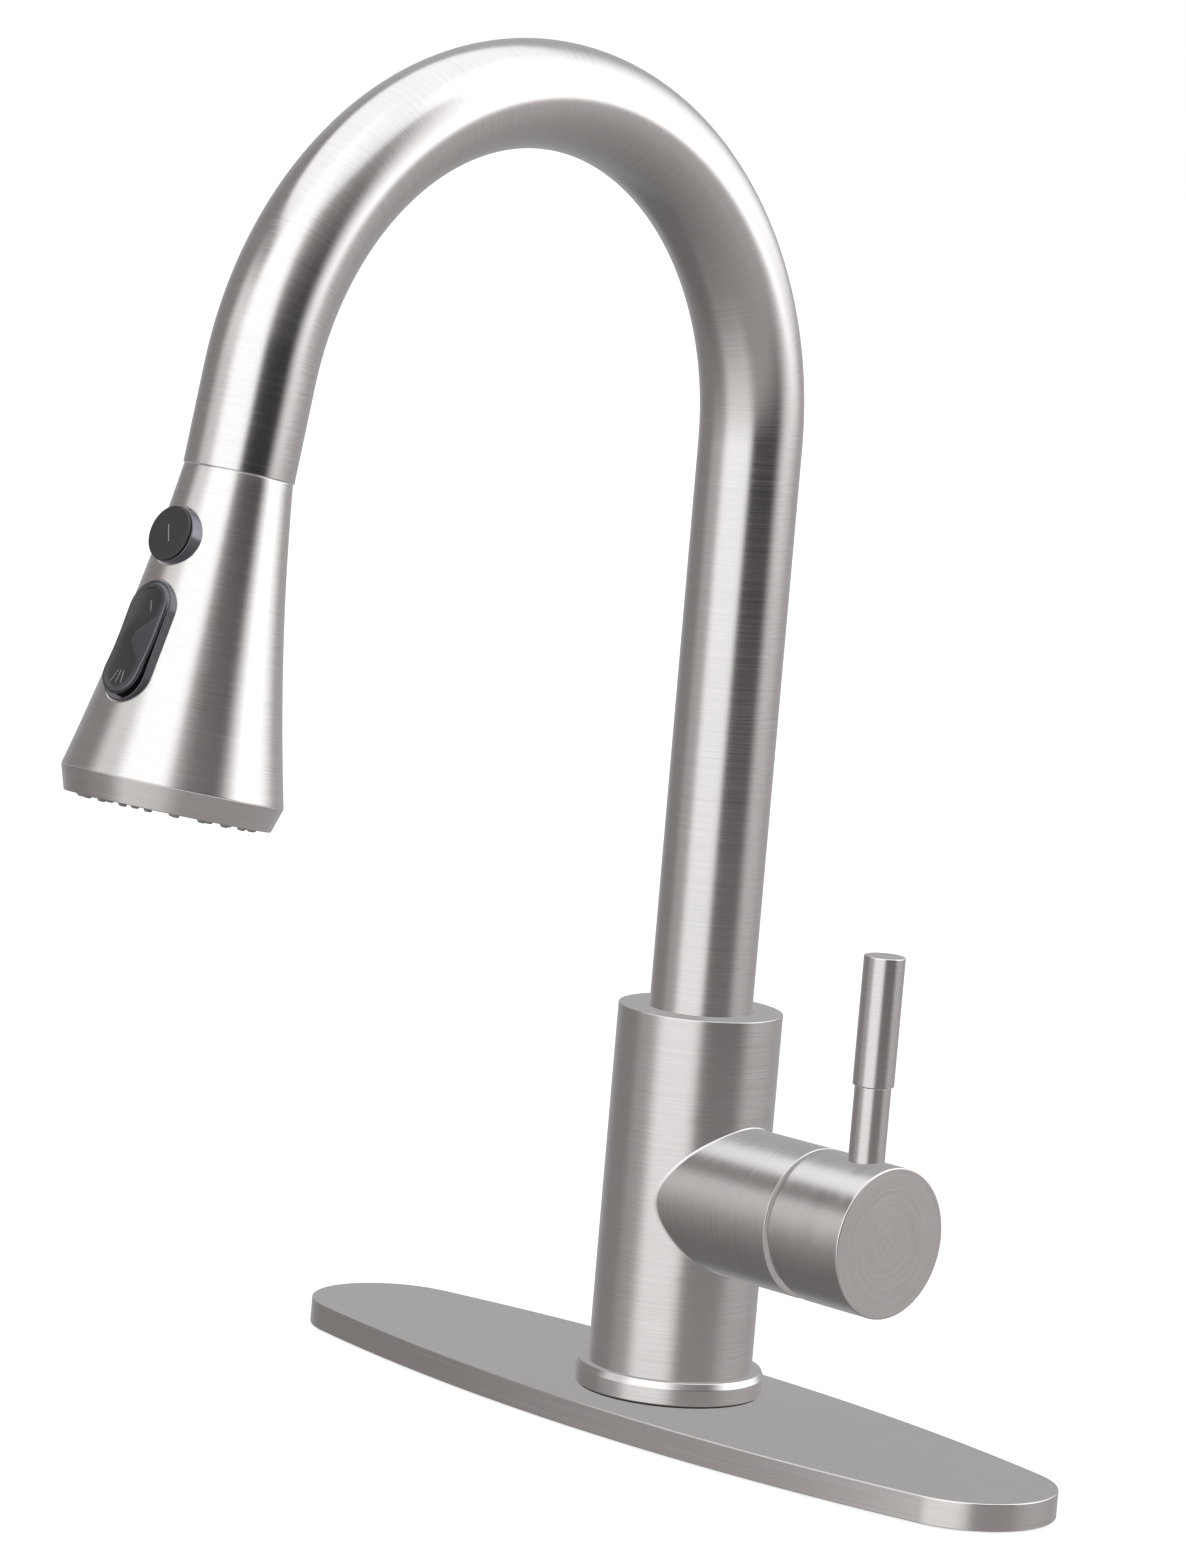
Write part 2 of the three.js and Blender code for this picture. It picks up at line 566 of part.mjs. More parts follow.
// The waterway inside the head: an inlet neck, a slim core under the controls and a wide outlet chamber.
function buildHeadCore() {
  const body = turned([
    [9.4, 1],
    [11.9, 1],
    [11.9, 9.6],
    [8.9, 12.6],
    [8.9, 30],
    [10.4, 31],
    [10.4, 64],
    [23.6, 70],
    [23.6, 78],
    [19.5, 78],
    [19.5, 71.5],
    [4.4, 69],
    [4.4, 9.4],
    [9.4, 9.4],
  ], COARSE);
  const plungerBore = inHeadFrame(rod(2.9, -15, 0, SMALL), PAUSE_AT);
  const springSeat = inHeadFrame(rod(5.8, -10.5, 0, 16), PAUSE_AT);
  const flangeDepth = PAUSE_FLANGE_AT - PAUSE_TRAVEL - GAP;
  const flangeSeat = inHeadFrame(rod(PAUSE_FLANGE_RADIUS + GAP, flangeDepth, 0), PAUSE_AT);
  const spoolEnd = SPOOL_HALF_LENGTH + 2.5;
  const spoolBore = rod(SPOOL_RADIUS + 0.4, SPOOL_GROOVE - spoolEnd, SPOOL_GROOVE + spoolEnd, SMALL);
  spoolBore.translate(0, SPOOL_Y, 0);
  const tailSlot = block([-2.4, 2.4], [SPOOL_Y, 14], [SPOOL_GROOVE - 5, SPOOL_GROOVE + 4]);
  const holes = [plungerBore, springSeat, flangeSeat, spoolBore, tailSlot];
  add(headFrame, "head_waterway", cut(body, ...holes), BLACK_PLASTIC);
  add(headFrame, "check_valve", tube(1.6, 4.1, 11.4, 15.4, 16), WHITE_PLASTIC);
  add(headFrame, "hose_washer", tube(5, 9.1, 7.1, 9.1), RUBBER);
}

// The spool slides along the head to send the water to the spray or to the aerator.
function buildDiverterSpool() {
  const grooveHalf = 1.7;
  const grooveRadius = 0.9;
  const spool = turned([
    [0, -SPOOL_HALF_LENGTH],
    [SPOOL_RADIUS, -SPOOL_HALF_LENGTH],
    [SPOOL_RADIUS, -grooveHalf],
    [grooveRadius, -grooveHalf],
    [grooveRadius, grooveHalf],
    [SPOOL_RADIUS, grooveHalf],
    [SPOOL_RADIUS, SPOOL_HALF_LENGTH],
    [0, SPOOL_HALF_LENGTH],
  ], SMALL);
  add(headFrame, "diverter_spool", spool.translate(0, SPOOL_Y, SPOOL_GROOVE), WHITE_PLASTIC);
}

function nozzlePlaces() {
  return NOZZLE_RINGS.flatMap(({ count, radius }) =>
    Array.from({ length: count }, (_, i) => {
      const angle = (2 * Math.PI * i) / count;
      return [radius * Math.cos(angle), radius * Math.sin(angle)];
    }));
}

function buildSprayOutlet() {
  const bezel = turned([
    [BEZEL_END_RADIUS - 1.4, HEAD_LENGTH + 0.2],
    [HEAD_WIDE_RADIUS, HEAD_LENGTH + 0.2],
    [BEZEL_END_RADIUS, BEZEL_END],
    [BEZEL_END_RADIUS - 1.4, BEZEL_END],
  ], FINE);
  add(headFrame, "spray_bezel", bezel, STEEL);

  const faceStart = BEZEL_END - 2.4;
  const nozzles = (radius, from, to) =>
    nozzlePlaces().map(([x, y]) => rod(radius, from, to, 5).translate(x, y, 0));
  const face = tube(11, BEZEL_END_RADIUS - 1.7, faceStart, BEZEL_END - 0.4, FINE);
  add(headFrame, "spray_face", cut(face, ...nozzles(1.4, faceStart - 1, BEZEL_END)), BLACK_PLASTIC);
  const sheet = tube(11.4, BEZEL_END_RADIUS - 2, faceStart - 2.2, faceStart - 0.2);
  add(headFrame, "nozzle_mat", join(sheet, ...nozzles(1.1, faceStart - 1, BEZEL_END + 1)), SILICONE);
  add(headFrame, "aerator_housing", tube(8.7, 10.6, BEZEL_END - 6.5, BEZEL_END - 0.2), BLACK_PLASTIC);
  add(headFrame, "aerator_screen", rod(8.4, BEZEL_END - 2.6, BEZEL_END - 1.6), STEEL);
}

// The button slides into the head. Its plunger closes the waterway, and the spring brings it back.
function buildPauseButton() {
  const bottom = PAUSE_FLANGE_AT;
  const button = turned([
    [0, bottom],
    [PAUSE_FLANGE_RADIUS, bottom],
    [PAUSE_FLANGE_RADIUS, bottom + 1.2],
    [PAUSE_RADIUS, bottom + 1.2],
    [PAUSE_RADIUS, PAUSE_PROUD - 0.6],
    [PAUSE_RADIUS - 0.6, PAUSE_PROUD],
    [0, PAUSE_PROUD],
  ]);
  add(pauseFrame, "pause_button", button, BLACK_PLASTIC);
  add(pauseFrame, "pause_plunger", rod(2.4, -13, bottom - 0.1, SMALL), BRASS);
  add(pauseFrame, "pause_spring", tube(3.4, 5.2, -10, bottom - 0.2, SMALL), STEEL);
}

function buildRocker() {
  const surround = extruded(stadium(FRAME_RADIUS, ROCKER_HALF_STRAIGHT), -5.4, 0.4);
  const opening = extruded(stadium(ROCKER_RADIUS + 0.4, ROCKER_HALF_STRAIGHT), -9, 9);
  const crossHole = rod(1.5, -20, 20, SMALL).rotateY(Math.PI / 2).translate(0, 0, -ROCKER_PIVOT_DEPTH);
  add(rockerFrame, "rocker_frame", cut(surround, opening, crossHole), BLACK_PLASTIC);
  const pin = rod(1.2, 0.4 - FRAME_RADIUS, FRAME_RADIUS - 0.4, SMALL).rotateY(Math.PI / 2);
  add(rockerFrame, "rocker_pin", pin.translate(0, 0, -ROCKER_PIVOT_DEPTH), STEEL);

  const tilted = frameGroup(rockerFrame, [0, 0, -ROCKER_PIVOT_DEPTH], [-ROCKER_TILT, 0, 0]);
  const pad = stadium(ROCKER_RADIUS, ROCKER_HALF_STRAIGHT);
  const face = extruded(pad, -2.6, ROCKER_PROUD + ROCKER_PIVOT_DEPTH);
  const tail = block([-2, 2], [-1, 1], [TAIL_TIP_GAP - TAIL_REACH, 0]);
  const pinHole = rod(1.5, -20, 20, SMALL).rotateY(Math.PI / 2);
  add(tilted, "mode_rocker", cut(join(face, tail), pinHole), BLACK_PLASTIC);
}

// The hose ends in a ferrule and a ball stem, and the swivel nut holds the ball in the head's inlet, so the
// head turns on the hose. The whole joint docks inside the bush at the spout's tip.
function buildHoseEnd() {
  add(headFrame, "dock_bush", tube(9.9, TUBE_BORE - GAP, -16, -0.6), BLACK_PLASTIC);
  add(headFrame, "hose_ferrule", tube(HOSE_RADIUS + GAP, 7.7, HOSE_END - 9, -12.5, 16), STEEL);
  const ballRadius = 7.2;
  const neckRadius = 4.6;
  const steps = 5;
  const from = Math.PI - Math.asin(neckRadius / ballRadius);
  const to = Math.asin(3.6 / ballRadius);
  const ball = Array.from({ length: steps + 1 }, (_, i) => {
    const angle = from + ((to - from) * i) / steps;
    return [ballRadius * Math.sin(angle), ballRadius * Math.cos(angle)];
  });
  const barb = HOSE_BORE - 0.6;
  const barbEnd = HOSE_END + 2;
  const stem = turned([
    [2.6, HOSE_END - 8],
    [barb, HOSE_END - 8],
    [barb, barbEnd],
    [neckRadius, barbEnd + 0.5],
    ...ball,
    [2.6, ballRadius * Math.cos(to)],
  ]);
  add(headFrame, "hose_ball_stem", stem, BRASS);
  const nut = turned([
    [5.6, -10],
    [8.3, -10],
    [9, -9.3],
    [9, 6.8],
    [7.7, 6.8],
    [7.7, -4.4],
    [5.6, -5.6],
  ]);
  add(headFrame, "swivel_nut", nut, BRASS);
}

buildDeckPlate();
buildBody();
buildSpoutBearings();
buildUnderDeck();
buildValveBlock();
buildCartridge();
buildCartridgeStem();
buildBonnet();
buildHandleHousing();
buildHandle();
buildLever();
buildSpout();
buildHose();
buildHeadShell();
buildHeadCore();
buildDiverterSpool();
buildSprayOutlet();
buildPauseButton();
buildRocker();
buildHoseEnd();

export default faucet;
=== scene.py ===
import json
from collections import namedtuple
from math import acos, asin, atan, atan2, ceil, copysign, cos, degrees, hypot, pi, radians, sin, sqrt, tan

import bmesh
import bpy
from mathutils import Matrix, Vector
from mathutils.geometry import delaunay_2d_cdt


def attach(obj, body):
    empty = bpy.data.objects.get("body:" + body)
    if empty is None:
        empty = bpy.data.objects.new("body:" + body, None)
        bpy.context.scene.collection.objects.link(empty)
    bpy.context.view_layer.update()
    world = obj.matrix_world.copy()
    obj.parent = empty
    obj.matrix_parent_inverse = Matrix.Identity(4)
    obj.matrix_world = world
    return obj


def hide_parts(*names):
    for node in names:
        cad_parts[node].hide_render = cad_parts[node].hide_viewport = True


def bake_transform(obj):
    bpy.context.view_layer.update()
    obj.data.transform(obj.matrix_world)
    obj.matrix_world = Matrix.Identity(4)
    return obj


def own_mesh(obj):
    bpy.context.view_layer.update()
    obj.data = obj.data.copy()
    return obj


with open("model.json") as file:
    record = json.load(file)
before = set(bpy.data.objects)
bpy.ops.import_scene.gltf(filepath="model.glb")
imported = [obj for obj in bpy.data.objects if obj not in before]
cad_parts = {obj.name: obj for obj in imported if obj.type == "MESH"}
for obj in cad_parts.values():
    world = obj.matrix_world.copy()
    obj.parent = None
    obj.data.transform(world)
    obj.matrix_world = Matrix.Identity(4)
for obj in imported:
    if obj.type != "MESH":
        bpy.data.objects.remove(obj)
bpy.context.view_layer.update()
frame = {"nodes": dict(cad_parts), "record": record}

# Every piece is drawn in millimetres, in the frame of the part it belongs to, with the CAD's dimensions.
MM = 0.001
GAP = 0.3  # between pieces that the CAD draws touching
SIDES = 128  # of the large round pieces
MEDIUM_SIDES = 96
SMALL_SIDES = 48
SQUARE = (0, 0, 0, 0)  # the fillets of a tube with sharp corners

# Deck plate, base ring and body
PLATE_HALF_LENGTH = 134
PLATE_HALF_WIDTH = 36.3
PLATE_SIDE_RADIUS = 528
PLATE_TOP = 7.6
PLATE_WALL = 1.5
RING_RADIUS = 25.8
RING_TOP = 14.5
BODY_RADIUS = 22.4
BODY_INNER = 20
BODY_BOTTOM = 10.8
BODY_TOP = 113
BODY_LIP = 3.6
SHANK_RADIUS = 16.5

# Spout and hose
TUBE_RADIUS = 14
TUBE_BORE = 12.8
TUBE_BOTTOM = 85.5
STRAIGHT_TOP = 266.5
ARCH_RADIUS = 89
ARCH_SWEEP = radians(169.9)
TIP_LENGTH = 25.1
HOSE_RADIUS = 6.2
HOSE_BORE = 4.2
HOSE_SPLIT = 96.8
HOSE_END = -15.5
HOSE_FREE_ANGLE = radians(140)  # of the bend: the hose past it is a piece of its own
HOSE_STRETCH = (-52, -17.5)  # along the head's axis, the span where the braid's pattern is closed up
HEAD_PULL = 160

# Handle, with its axis along +X
HANDLE_Z = 63.3
HORN_RADIUS = 20.4
HORN_BORE = 18.5
HORN_END = 49.4
CAP_START = 50.2
CAP_END = 75.9
CAP_RELIEF = 3.8
CAP_HOLLOW = 18.8
CAP_FLOOR = 60
STEM_SOCKET_RADIUS = 4.5
STEM_SOCKET_END = 70
SET_SCREW_HOLE = 2.7
TILT_PIVOT = 33
LEVER_X = 65
LEVER_THIN = 4.9
LEVER_THICK = 5.55
LEVER_STEP_Z = 103.7
LEVER_TOP_Z = 138.4

# Spray head, measured along its own axis from the seam with the spout
HEAD_TOP_RADIUS = 13.7
HEAD_WIDE_RADIUS = 28
HEAD_LENGTH = 78.8
HEAD_SAG = 1.2
HEAD_WALL = 1.4
BEZEL_END = 85.1
BEZEL_END_RADIUS = 26.05
SEAM_GAP = 0.06  # each side of the seams that close tight: spout to head, and head to bezel
PAUSE_AT = 18.5
PAUSE_RADIUS = 7.2
PAUSE_PROUD = 2.2
PAUSE_FLANGE_RADIUS = 8
PAUSE_FLANGE_AT = -6
SPRING_SEAT = -10
ROCKER_AT = 45.5
ROCKER_RADIUS = 6.35
ROCKER_HALF_STRAIGHT = 8.4
ROCKER_PROUD = 1.7
ROCKER_TILT = radians(3.8)
ROCKER_PIVOT_DEPTH = 3
FRAME_RADIUS = ROCKER_RADIUS + 0.95
PAD_RIM = 0.75  # the rounding of the rocker's rim
PAD_DIP = 0.4  # of the rim in the rocker's middle
PAD_DIP_REACH = 11
RIDGE_REACH = 7  # how far the ridge between the scoops reaches to each side
SCOOP_DEPTH = 0.07  # as a share of the scoop's width
NOZZLE_RINGS = ((20, 21.6), (10, 15.6))  # how many nozzles, and how far out
NOZZLE_HOLE = 1.4
AERATOR_RADIUS = 10.6
AERATOR_BORE = 8.7
SCREEN_RADIUS = 8.4
SCREEN_PITCH = 1.75
SCREEN_HOLE = 0.68

# Studio: the brightness of the room and of its soft panels, which are placed in degrees from the camera
Panel = namedtuple("Panel", "brightness azimuths elevations side_softness end_softness")
ROOM_BRIGHTNESS = 0.52
ROOM_TINT = (1.045, 0.985, 0.965)
REAR_TINT = (1.0, 0.97, 1.005)
REAR_EDGE = (145, 40)  # where the rear's tint begins, and over how many degrees
TINT_FADE = (0.3, 1.3)  # the brightness over which the tints fade to white
PANELS = (
    Panel(0.59, (60, 120), (-28, None), (20, 20), (12, 0)),  # paler wall on the right
    Panel(0.31, (-150, -70), (None, None), (40, 22), (0, 0)),  # dim room, behind on the left
    Panel(1.5, (112, 146), (5, 50), (18, 40), (9, 28)),  # reflector, behind on the right
    Panel(1.2, (-93, -54), (6, 33), (22, 18), (80, 18)),  # fill, which brightens upwards
    Panel(1.45, (None, None), (46, None), (0, 0), (4, 0)),  # overhead cloth
    Panel(1.2, (-58, 0), (-36, None), (20, 30), (40, 0)),  # the left softbox's glow on the floor
    Panel(1.62, (-58, 8), (-8, None), (20, 40), (14, 0)),  # softbox on the left
    Panel(0.0, (3, 69), (-10, 31), (14, 26), (11, 72)),  # black flag in front on the right
    Panel(2.3, (74, 112), (-2.5, 63), (40, 55), (6, 18)),  # softbox on the right
    Panel(0.21, (None, None), (None, -42), (0, 0), (0, 140)),  # the floor's grey, darker straight down
    Panel(0.2, (-165, -85), (None, -34), (30, 30), (0, 24)),  # dark table edge below on the left
)

# Camera: the photographed angle, on a long lens held a little off level
CAMERA_AZIMUTH = radians(45)
CAMERA_ELEVATION = radians(7.13)
CAMERA_ROLL = radians(4.84)
CAMERA_TARGET = Vector((-0.0263, -0.0262, 0.178))
CAMERA_DISTANCE = 1.5956
CAMERA_LENS = 138.1
CAMERA_SHIFT = (0.0055, -0.008)


# ---------------- frames
def turn(angle, axis):
    return Matrix.Rotation(angle, 4, axis)


def shift(x, y, z):
    return Matrix.Translation((x, y, z))


def flare_radius(along):
    t = along / HEAD_LENGTH
    return HEAD_TOP_RADIUS + (HEAD_WIDE_RADIUS - HEAD_TOP_RADIUS) * t - 4 * HEAD_SAG * t * (1 - t)


def flare_slope(along):
    t = along / HEAD_LENGTH
    return atan((HEAD_WIDE_RADIUS - HEAD_TOP_RADIUS - 4 * HEAD_SAG * (1 - 2 * t)) / HEAD_LENGTH)


WORLD = Matrix.Identity(4)
HANDLE = shift(0, 0, HANDLE_Z) @ turn(pi / 2, "Y")  # local +Z is world +X, and local -X is up
LEVER = shift(LEVER_X, 0, 0)
SEAM = Vector((
    0,
    ARCH_RADIUS * (cos(ARCH_SWEEP) - 1) - TIP_LENGTH * sin(ARCH_SWEEP),
    STRAIGHT_TOP + ARCH_RADIUS * sin(ARCH_SWEEP) + TIP_LENGTH * cos(ARCH_SWEEP),
))
HEAD = Matrix.Translation(SEAM) @ turn(ARCH_SWEEP, "X")  # local +Z runs down the head, and +Y is its front


def control_place(along):
    """A control's frame inside the head's: on the flare, local +Z outwards and +Y up the head."""
    return shift(0, flare_radius(along), along) @ turn(-pi / 2 - flare_slope(along), "X")


PAUSE = HEAD @ control_place(PAUSE_AT)
ROCKER_FRAME = HEAD @ control_place(ROCKER_AT)
ROCKER = ROCKER_FRAME @ shift(0, 0, -ROCKER_PIVOT_DEPTH) @ turn(-ROCKER_TILT, "X")


# ---------------- mesh building
class Shape:
    """Points and faces in millimetres. Each face corner has its place in the brushing: (around, along)."""

    def __init__(self, place=WORLD):
        self.place = place
        self.points = []
        self.faces = []
        self.brush = []

    def ring(self, points):
        start = len(self.points)
        self.points += [self.place @ Vector(p) for p in points]
        return list(range(start, len(self.points)))

    def circles(self, profile, count=SIDES, start=0.0):
        """A round ring for each (radius, height) of a profile. A radius of 0 gives one point."""
        return [self.ring(circle(r, count if r > 1e-6 else 1, z, start)) for r, z in profile]

    def face(self, corners, brush):
        self.faces.append(corners)
        self.brush.append(brush)

    def cap(self, *rings):
        """Closes each ring with one face that shows no brushing."""
        for ring in rings:
            self.face(ring, [(0, 0)] * len(ring))

    def strip(self, a, b, around, from_v, to_v, left_out=()):
        """Faces between two closed rings. A ring of one point is the tip of a fan."""
        count = max(len(a), len(b))
        if count == 1:
            return
        for j in range(count):
            if j in left_out:
                continue
            corners = [(a, j, from_v), (a, j + 1, from_v), (b, j + 1, to_v), (b, j, to_v)]
            if len(a) == 1:
                corners.pop(1)
            if len(b) == 1:
                corners.pop(-1)
            brush = [(around * i / count, v) for _, i, v in corners]
            self.face([ring[i % len(ring)] for ring, i, _ in corners], brush)

    def join(self, rings, around, closed=False, start=0.0):
        """Strips through a list of rings, with the brushing measured along them."""
        v = start
        for a, b in zip(rings, rings[1:] + rings[:1] if closed else rings[1:]):
            next_v = v + (self.points[a[0]] - self.points[b[0]]).length
            self.strip(a, b, around, v, next_v)
            v = next_v

    def flat_strip(self, a, b):
        """Flat faces between two closed rings of equal count, brushed along X."""
        back = self.place.inverted()
        for j in range(len(a)):
            corners = [a[j - 1], a[j], b[j], b[j - 1]]
            self.face(corners, [tuple((back @ self.points[i]).xy) for i in corners])

    def flat(self, outlines, keep, z):
        """A flat sheet at height z between closed outlines, as triangles whose middles keep() accepts."""
        points = [Vector(p) for outline in outlines for p in outline]
        edges = []
        for outline in outlines:
            first, count = len(edges), len(outline)
            edges += [(first + i, first + (i + 1) % count) for i in range(count)]
        verts, _, faces, *_ = delaunay_2d_cdt(points, edges, [], 0, 1e-4)
        ring = self.ring([(v.x, v.y, z) for v in verts])
        for corners in faces:
            middle = sum((verts[i] for i in corners), Vector((0, 0))) / len(corners)
            if keep(middle):
                self.face([ring[i] for i in corners], [tuple(verts[i]) for i in corners])


def rounded(corners, steps=4):
    """A closed outline of (x, y, fillet radius) corners as points, with each corner rounded by an arc."""
    outline = []
    for i, (x, y, radius) in enumerate(corners):
        here = Vector((x, y))
        if not radius:
            outline.append((x, y))
            continue
        back = (Vector(corners[i - 1][:2]) - here).normalized()
        ahead = (Vector(corners[(i + 1) % len(corners)][:2]) - here).normalized()
        half = acos(max(-1.0, min(1.0, back.dot(ahead)))) / 2
        centre = here + (back + ahead).normalized() * radius / sin(half)
        start = here + back * radius / tan(half) - centre
        sweep = start.angle_signed(here + ahead * radius / tan(half) - centre)
        for step in range(steps + 1):
            arm = start.copy()
            arm.rotate(Matrix.Rotation(-sweep * step / steps, 2))
            outline.append(tuple(centre + arm))
    return outline


def even(low, high, count):
    return [low + (high - low) * i / count for i in range(count + 1)]


def bearings(count=SIDES, start=0.0):
    """Angles evenly spaced round a full turn."""
    return [start + 2 * pi * j / count for j in range(count)]


def circle(radius, count=SIDES, z=0.0, start=0.0):
    return [(radius * cos(a), radius * sin(a), z) for a in bearings(count, start)]


def quarter_round(z, radius, steps=5):
    """A rounded edge as (inset, height) points, from a wall up to the face at this height."""
    return [(radius * (1 - cos(a)), z - radius * (1 - sin(a))) for a in even(0, pi / 2, steps)]


def turned(corners, sides=SIDES, place=WORLD, steps=4):
    """A closed outline of (radius, height, fillet) corners turned about the frame's Z."""
    shape = Shape(place)
    outline = rounded(corners, steps)
    shape.join(shape.circles(outline, sides), 2 * pi * max(r for r, _ in outline), closed=True)
    return shape


def tube(inner, outer, bottom, top, sides, place, fillets=(0.25,) * 4, steps=3):
    """A tube, or a rod where inner is 0. The fillets are those of the corners, inner bottom first."""
    corners = zip((inner, outer, outer, inner), (bottom, bottom, top, top), fillets)
    return turned(list(corners), sides, place, steps)


def stacked(outline_at, profile, place=WORLD, capped=True):
    """A solid whose section outline_at(inset) changes with height: profile is a list of (inset, z)."""
    shape = Shape(place)
    rings = [shape.ring([(x, y, z) for x, y in outline_at(inset)]) for inset, z in profile]
    first = [shape.points[i] for i in rings[0]]
    around = sum((first[i] - first[i - 1]).length for i in range(len(first)))
    shape.join(rings, around, closed=not capped)
    if capped:
        for ring in (rings[0], rings[-1]):
            shape.face(ring, [tuple((shape.place.inverted() @ shape.points[i]).xy) for i in ring])
    return shape


def stadium(radius, half_straight, count=SIDES):
    """Points of a stadium lying along Y, evenly spaced in angle round its two ends."""
    angles = bearings(count, pi / count)
    return [(radius * cos(a), copysign(half_straight, sin(a)) + radius * sin(a)) for a in angles]


def smooth(obj):
    """Smooth shading that leaves flat faces flat and hard corners hard."""
    obj.data.shade_smooth()
    obj.data.set_sharp_from_angle(angle=radians(35))
    normals = obj.modifiers.new("normals", "WEIGHTED_NORMAL")
    normals.keep_sharp = True


def link(name, data):
    """A new object in the scene, which is not seen in the gloss of others."""
    obj = bpy.data.objects.new(name, data)
    bpy.context.scene.collection.objects.link(obj)
    obj.visible_glossy = False
    return obj


def piece(name, shape, material, body, replaces=(), slot=None, to=None):
    """Makes a shape into an object that rides on a body. Given to, it is left where it is drawn, on no
    body.
    """
    mesh = bpy.data.meshes.new(name)
    mesh.from_pydata([p * MM for p in shape.points], [], shape.faces)
    layer = mesh.uv_layers.new(name="brush")
    layer.data.foreach_set("uv", [c for face in shape.brush for corner in face for c in corner])
    solid = bmesh.new()
    solid.from_mesh(mesh)
    bmesh.ops.remove_doubles(solid, verts=solid.verts, dist=1e-7)
    bmesh.ops.recalc_face_normals(solid, faces=solid.faces)
    solid.to_mesh(mesh)
    solid.free()
    mesh.materials.append(material)
    obj = link(name, mesh)
    smooth(obj)
    if to:
        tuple(to[1])
        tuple(to[2])
        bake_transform(obj)
    else:
        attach(obj, body)
    slot = slot or SLOTS.get(material, "black_plastic")
    if replaces:
        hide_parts(*replaces)
    return obj


# ---------------- materials
class Nodes:
    """A material's node tree, with short calls for the nodes that the materials here use."""

    def __init__(self, tree):
        self.tree = tree

    def add(self, kind, inputs=(), **settings):
        node = self.tree.nodes.new(kind)
        for name, value in settings.items():
            setattr(node, name, value)
        for name, value in dict(inputs).items():
            if isinstance(value, bpy.types.NodeSocket):
                self.tree.links.new(value, node.inputs[name])
            else:
                node.inputs[name].default_value = value
        return node

    def math(self, operation, *values):
        return self.add("ShaderNodeMath", enumerate(values), operation=operation).outputs[0]

    def millimetres(self):
        """The place in the object's own frame, in millimetres."""
        return self.scaled(self.add("ShaderNodeTexCoord").outputs["Object"], (1000, 1000, 1000))

    def brushing(self):
        """The place in the brushing, in millimetres round the piece and along it."""
        return self.add("ShaderNodeUVMap", uv_map="brush").outputs[0]

    def scaled(self, vector, scale):
        inputs = {0: vector, 1: scale}
        return self.add("ShaderNodeVectorMath", inputs, operation="MULTIPLY").outputs[0]

    def noise(self, vector, scale=1.0, detail=3.0, roughness=0.5):
        inputs = {"Vector": vector, "Scale": scale, "Detail": detail, "Roughness": roughness}
        return self.add("ShaderNodeTexNoise", inputs).outputs["Fac"]

    def mix_of(self, *parts):
        """The sum of (value, weight) parts."""
        total = 0.0
        for value, weight in parts:
            total = self.math("MULTIPLY_ADD", value, weight, total)
        return total

    def ramp(self, value, low, high, from_low=0.0, from_high=1.0, interpolation="LINEAR"):
        inputs = {"Value": value, 1: from_low, 2: from_high, 3: low, 4: high}
        return self.add("ShaderNodeMapRange", inputs, interpolation_type=interpolation).outputs[0]

    def blend(self, factor, a, b):
        """A mix of two colours, each an (r, g, b) or the output of a node."""
        a, b = (c if isinstance(c, bpy.types.NodeSocket) else (*c, 1) for c in (a, b))
        inputs = {"Factor": factor, "A": a, "B": b}
        return self.add("ShaderNodeMix", inputs, data_type="RGBA").outputs["Result"]

    def bump(self, height, distance, strength=1.0):
        inputs = {"Height": height, "Distance": distance, "Strength": strength}
        return self.add("ShaderNodeBump", inputs).outputs[0]


def shader(name, **uniform):
    """A new material and its Principled shader. Uniform values are set on the shader itself."""
    material = bpy.data.materials.new(name)
    material.use_nodes = True
    principled = material.node_tree.nodes["Principled BSDF"]
    for socket, value in uniform.items():
        principled.inputs[socket.replace("_", " ")].default_value = value
    return material, principled, Nodes(material.node_tree)


def connect(nodes, principled, **outputs):
    for socket, output in outputs.items():
        nodes.tree.links.new(output, principled.inputs[socket.replace("_", " ")])


def brushed_metal(name, dark, light, rough, streak_bump=3.5e-6):
    """Metal with fine lines that run round each piece, spread across by an uneven polish."""
    material, principled, nodes = shader(name, Metallic=1.0, Anisotropic=0.2, Anisotropic_Rotation=0.25)
    place = nodes.brushing()
    fine, middle, broad, cloud = (
        nodes.noise(nodes.scaled(place, (1 / length, 1 / width, 0)), 1, detail, roughness)
        for length, width, detail, roughness in (
            (22, 0.16, 3, 0.6), (30, 0.45, 3, 0.6), (45, 1.5, 2, 0.5), (40, 40, 2, 0.5)))
    lines = nodes.mix_of((fine, 0.35), (middle, 0.5), (broad, 0.15))
    polish = nodes.mix_of((lines, 0.8), (cloud, 0.2))
    connect(
        nodes, principled,
        Base_Color=nodes.blend(nodes.ramp(lines, 0, 1, 0.35, 0.65), dark, light),
        Roughness=nodes.ramp(polish, rough - 0.055, rough + 0.055, 0.35, 0.65),
        Normal=nodes.bump(lines, streak_bump),
        Tangent=nodes.add("ShaderNodeTangent", direction_type="UV_MAP", uv_map="brush").outputs[0],
    )
    return material


def moulded(name, dark, light, rough, grain=0.35, depth=6e-6, **uniform):
    """Plastic, rubber or ceramic with a fine grain, whose size is in millimetres."""
    material, principled, nodes = shader(name, **uniform)
    place = nodes.millimetres()
    texture = nodes.noise(place, 1 / grain, 4)
    cloud = nodes.noise(place, 1 / 9, 3)
    connect(
        nodes, principled,
        Base_Color=nodes.blend(nodes.ramp(cloud, 0, 1, 0.3, 0.7), dark, light),
        Roughness=nodes.ramp(texture, rough - 0.05, rough + 0.06, 0.3, 0.7),
        Normal=nodes.bump(texture, depth),
    )
    return material


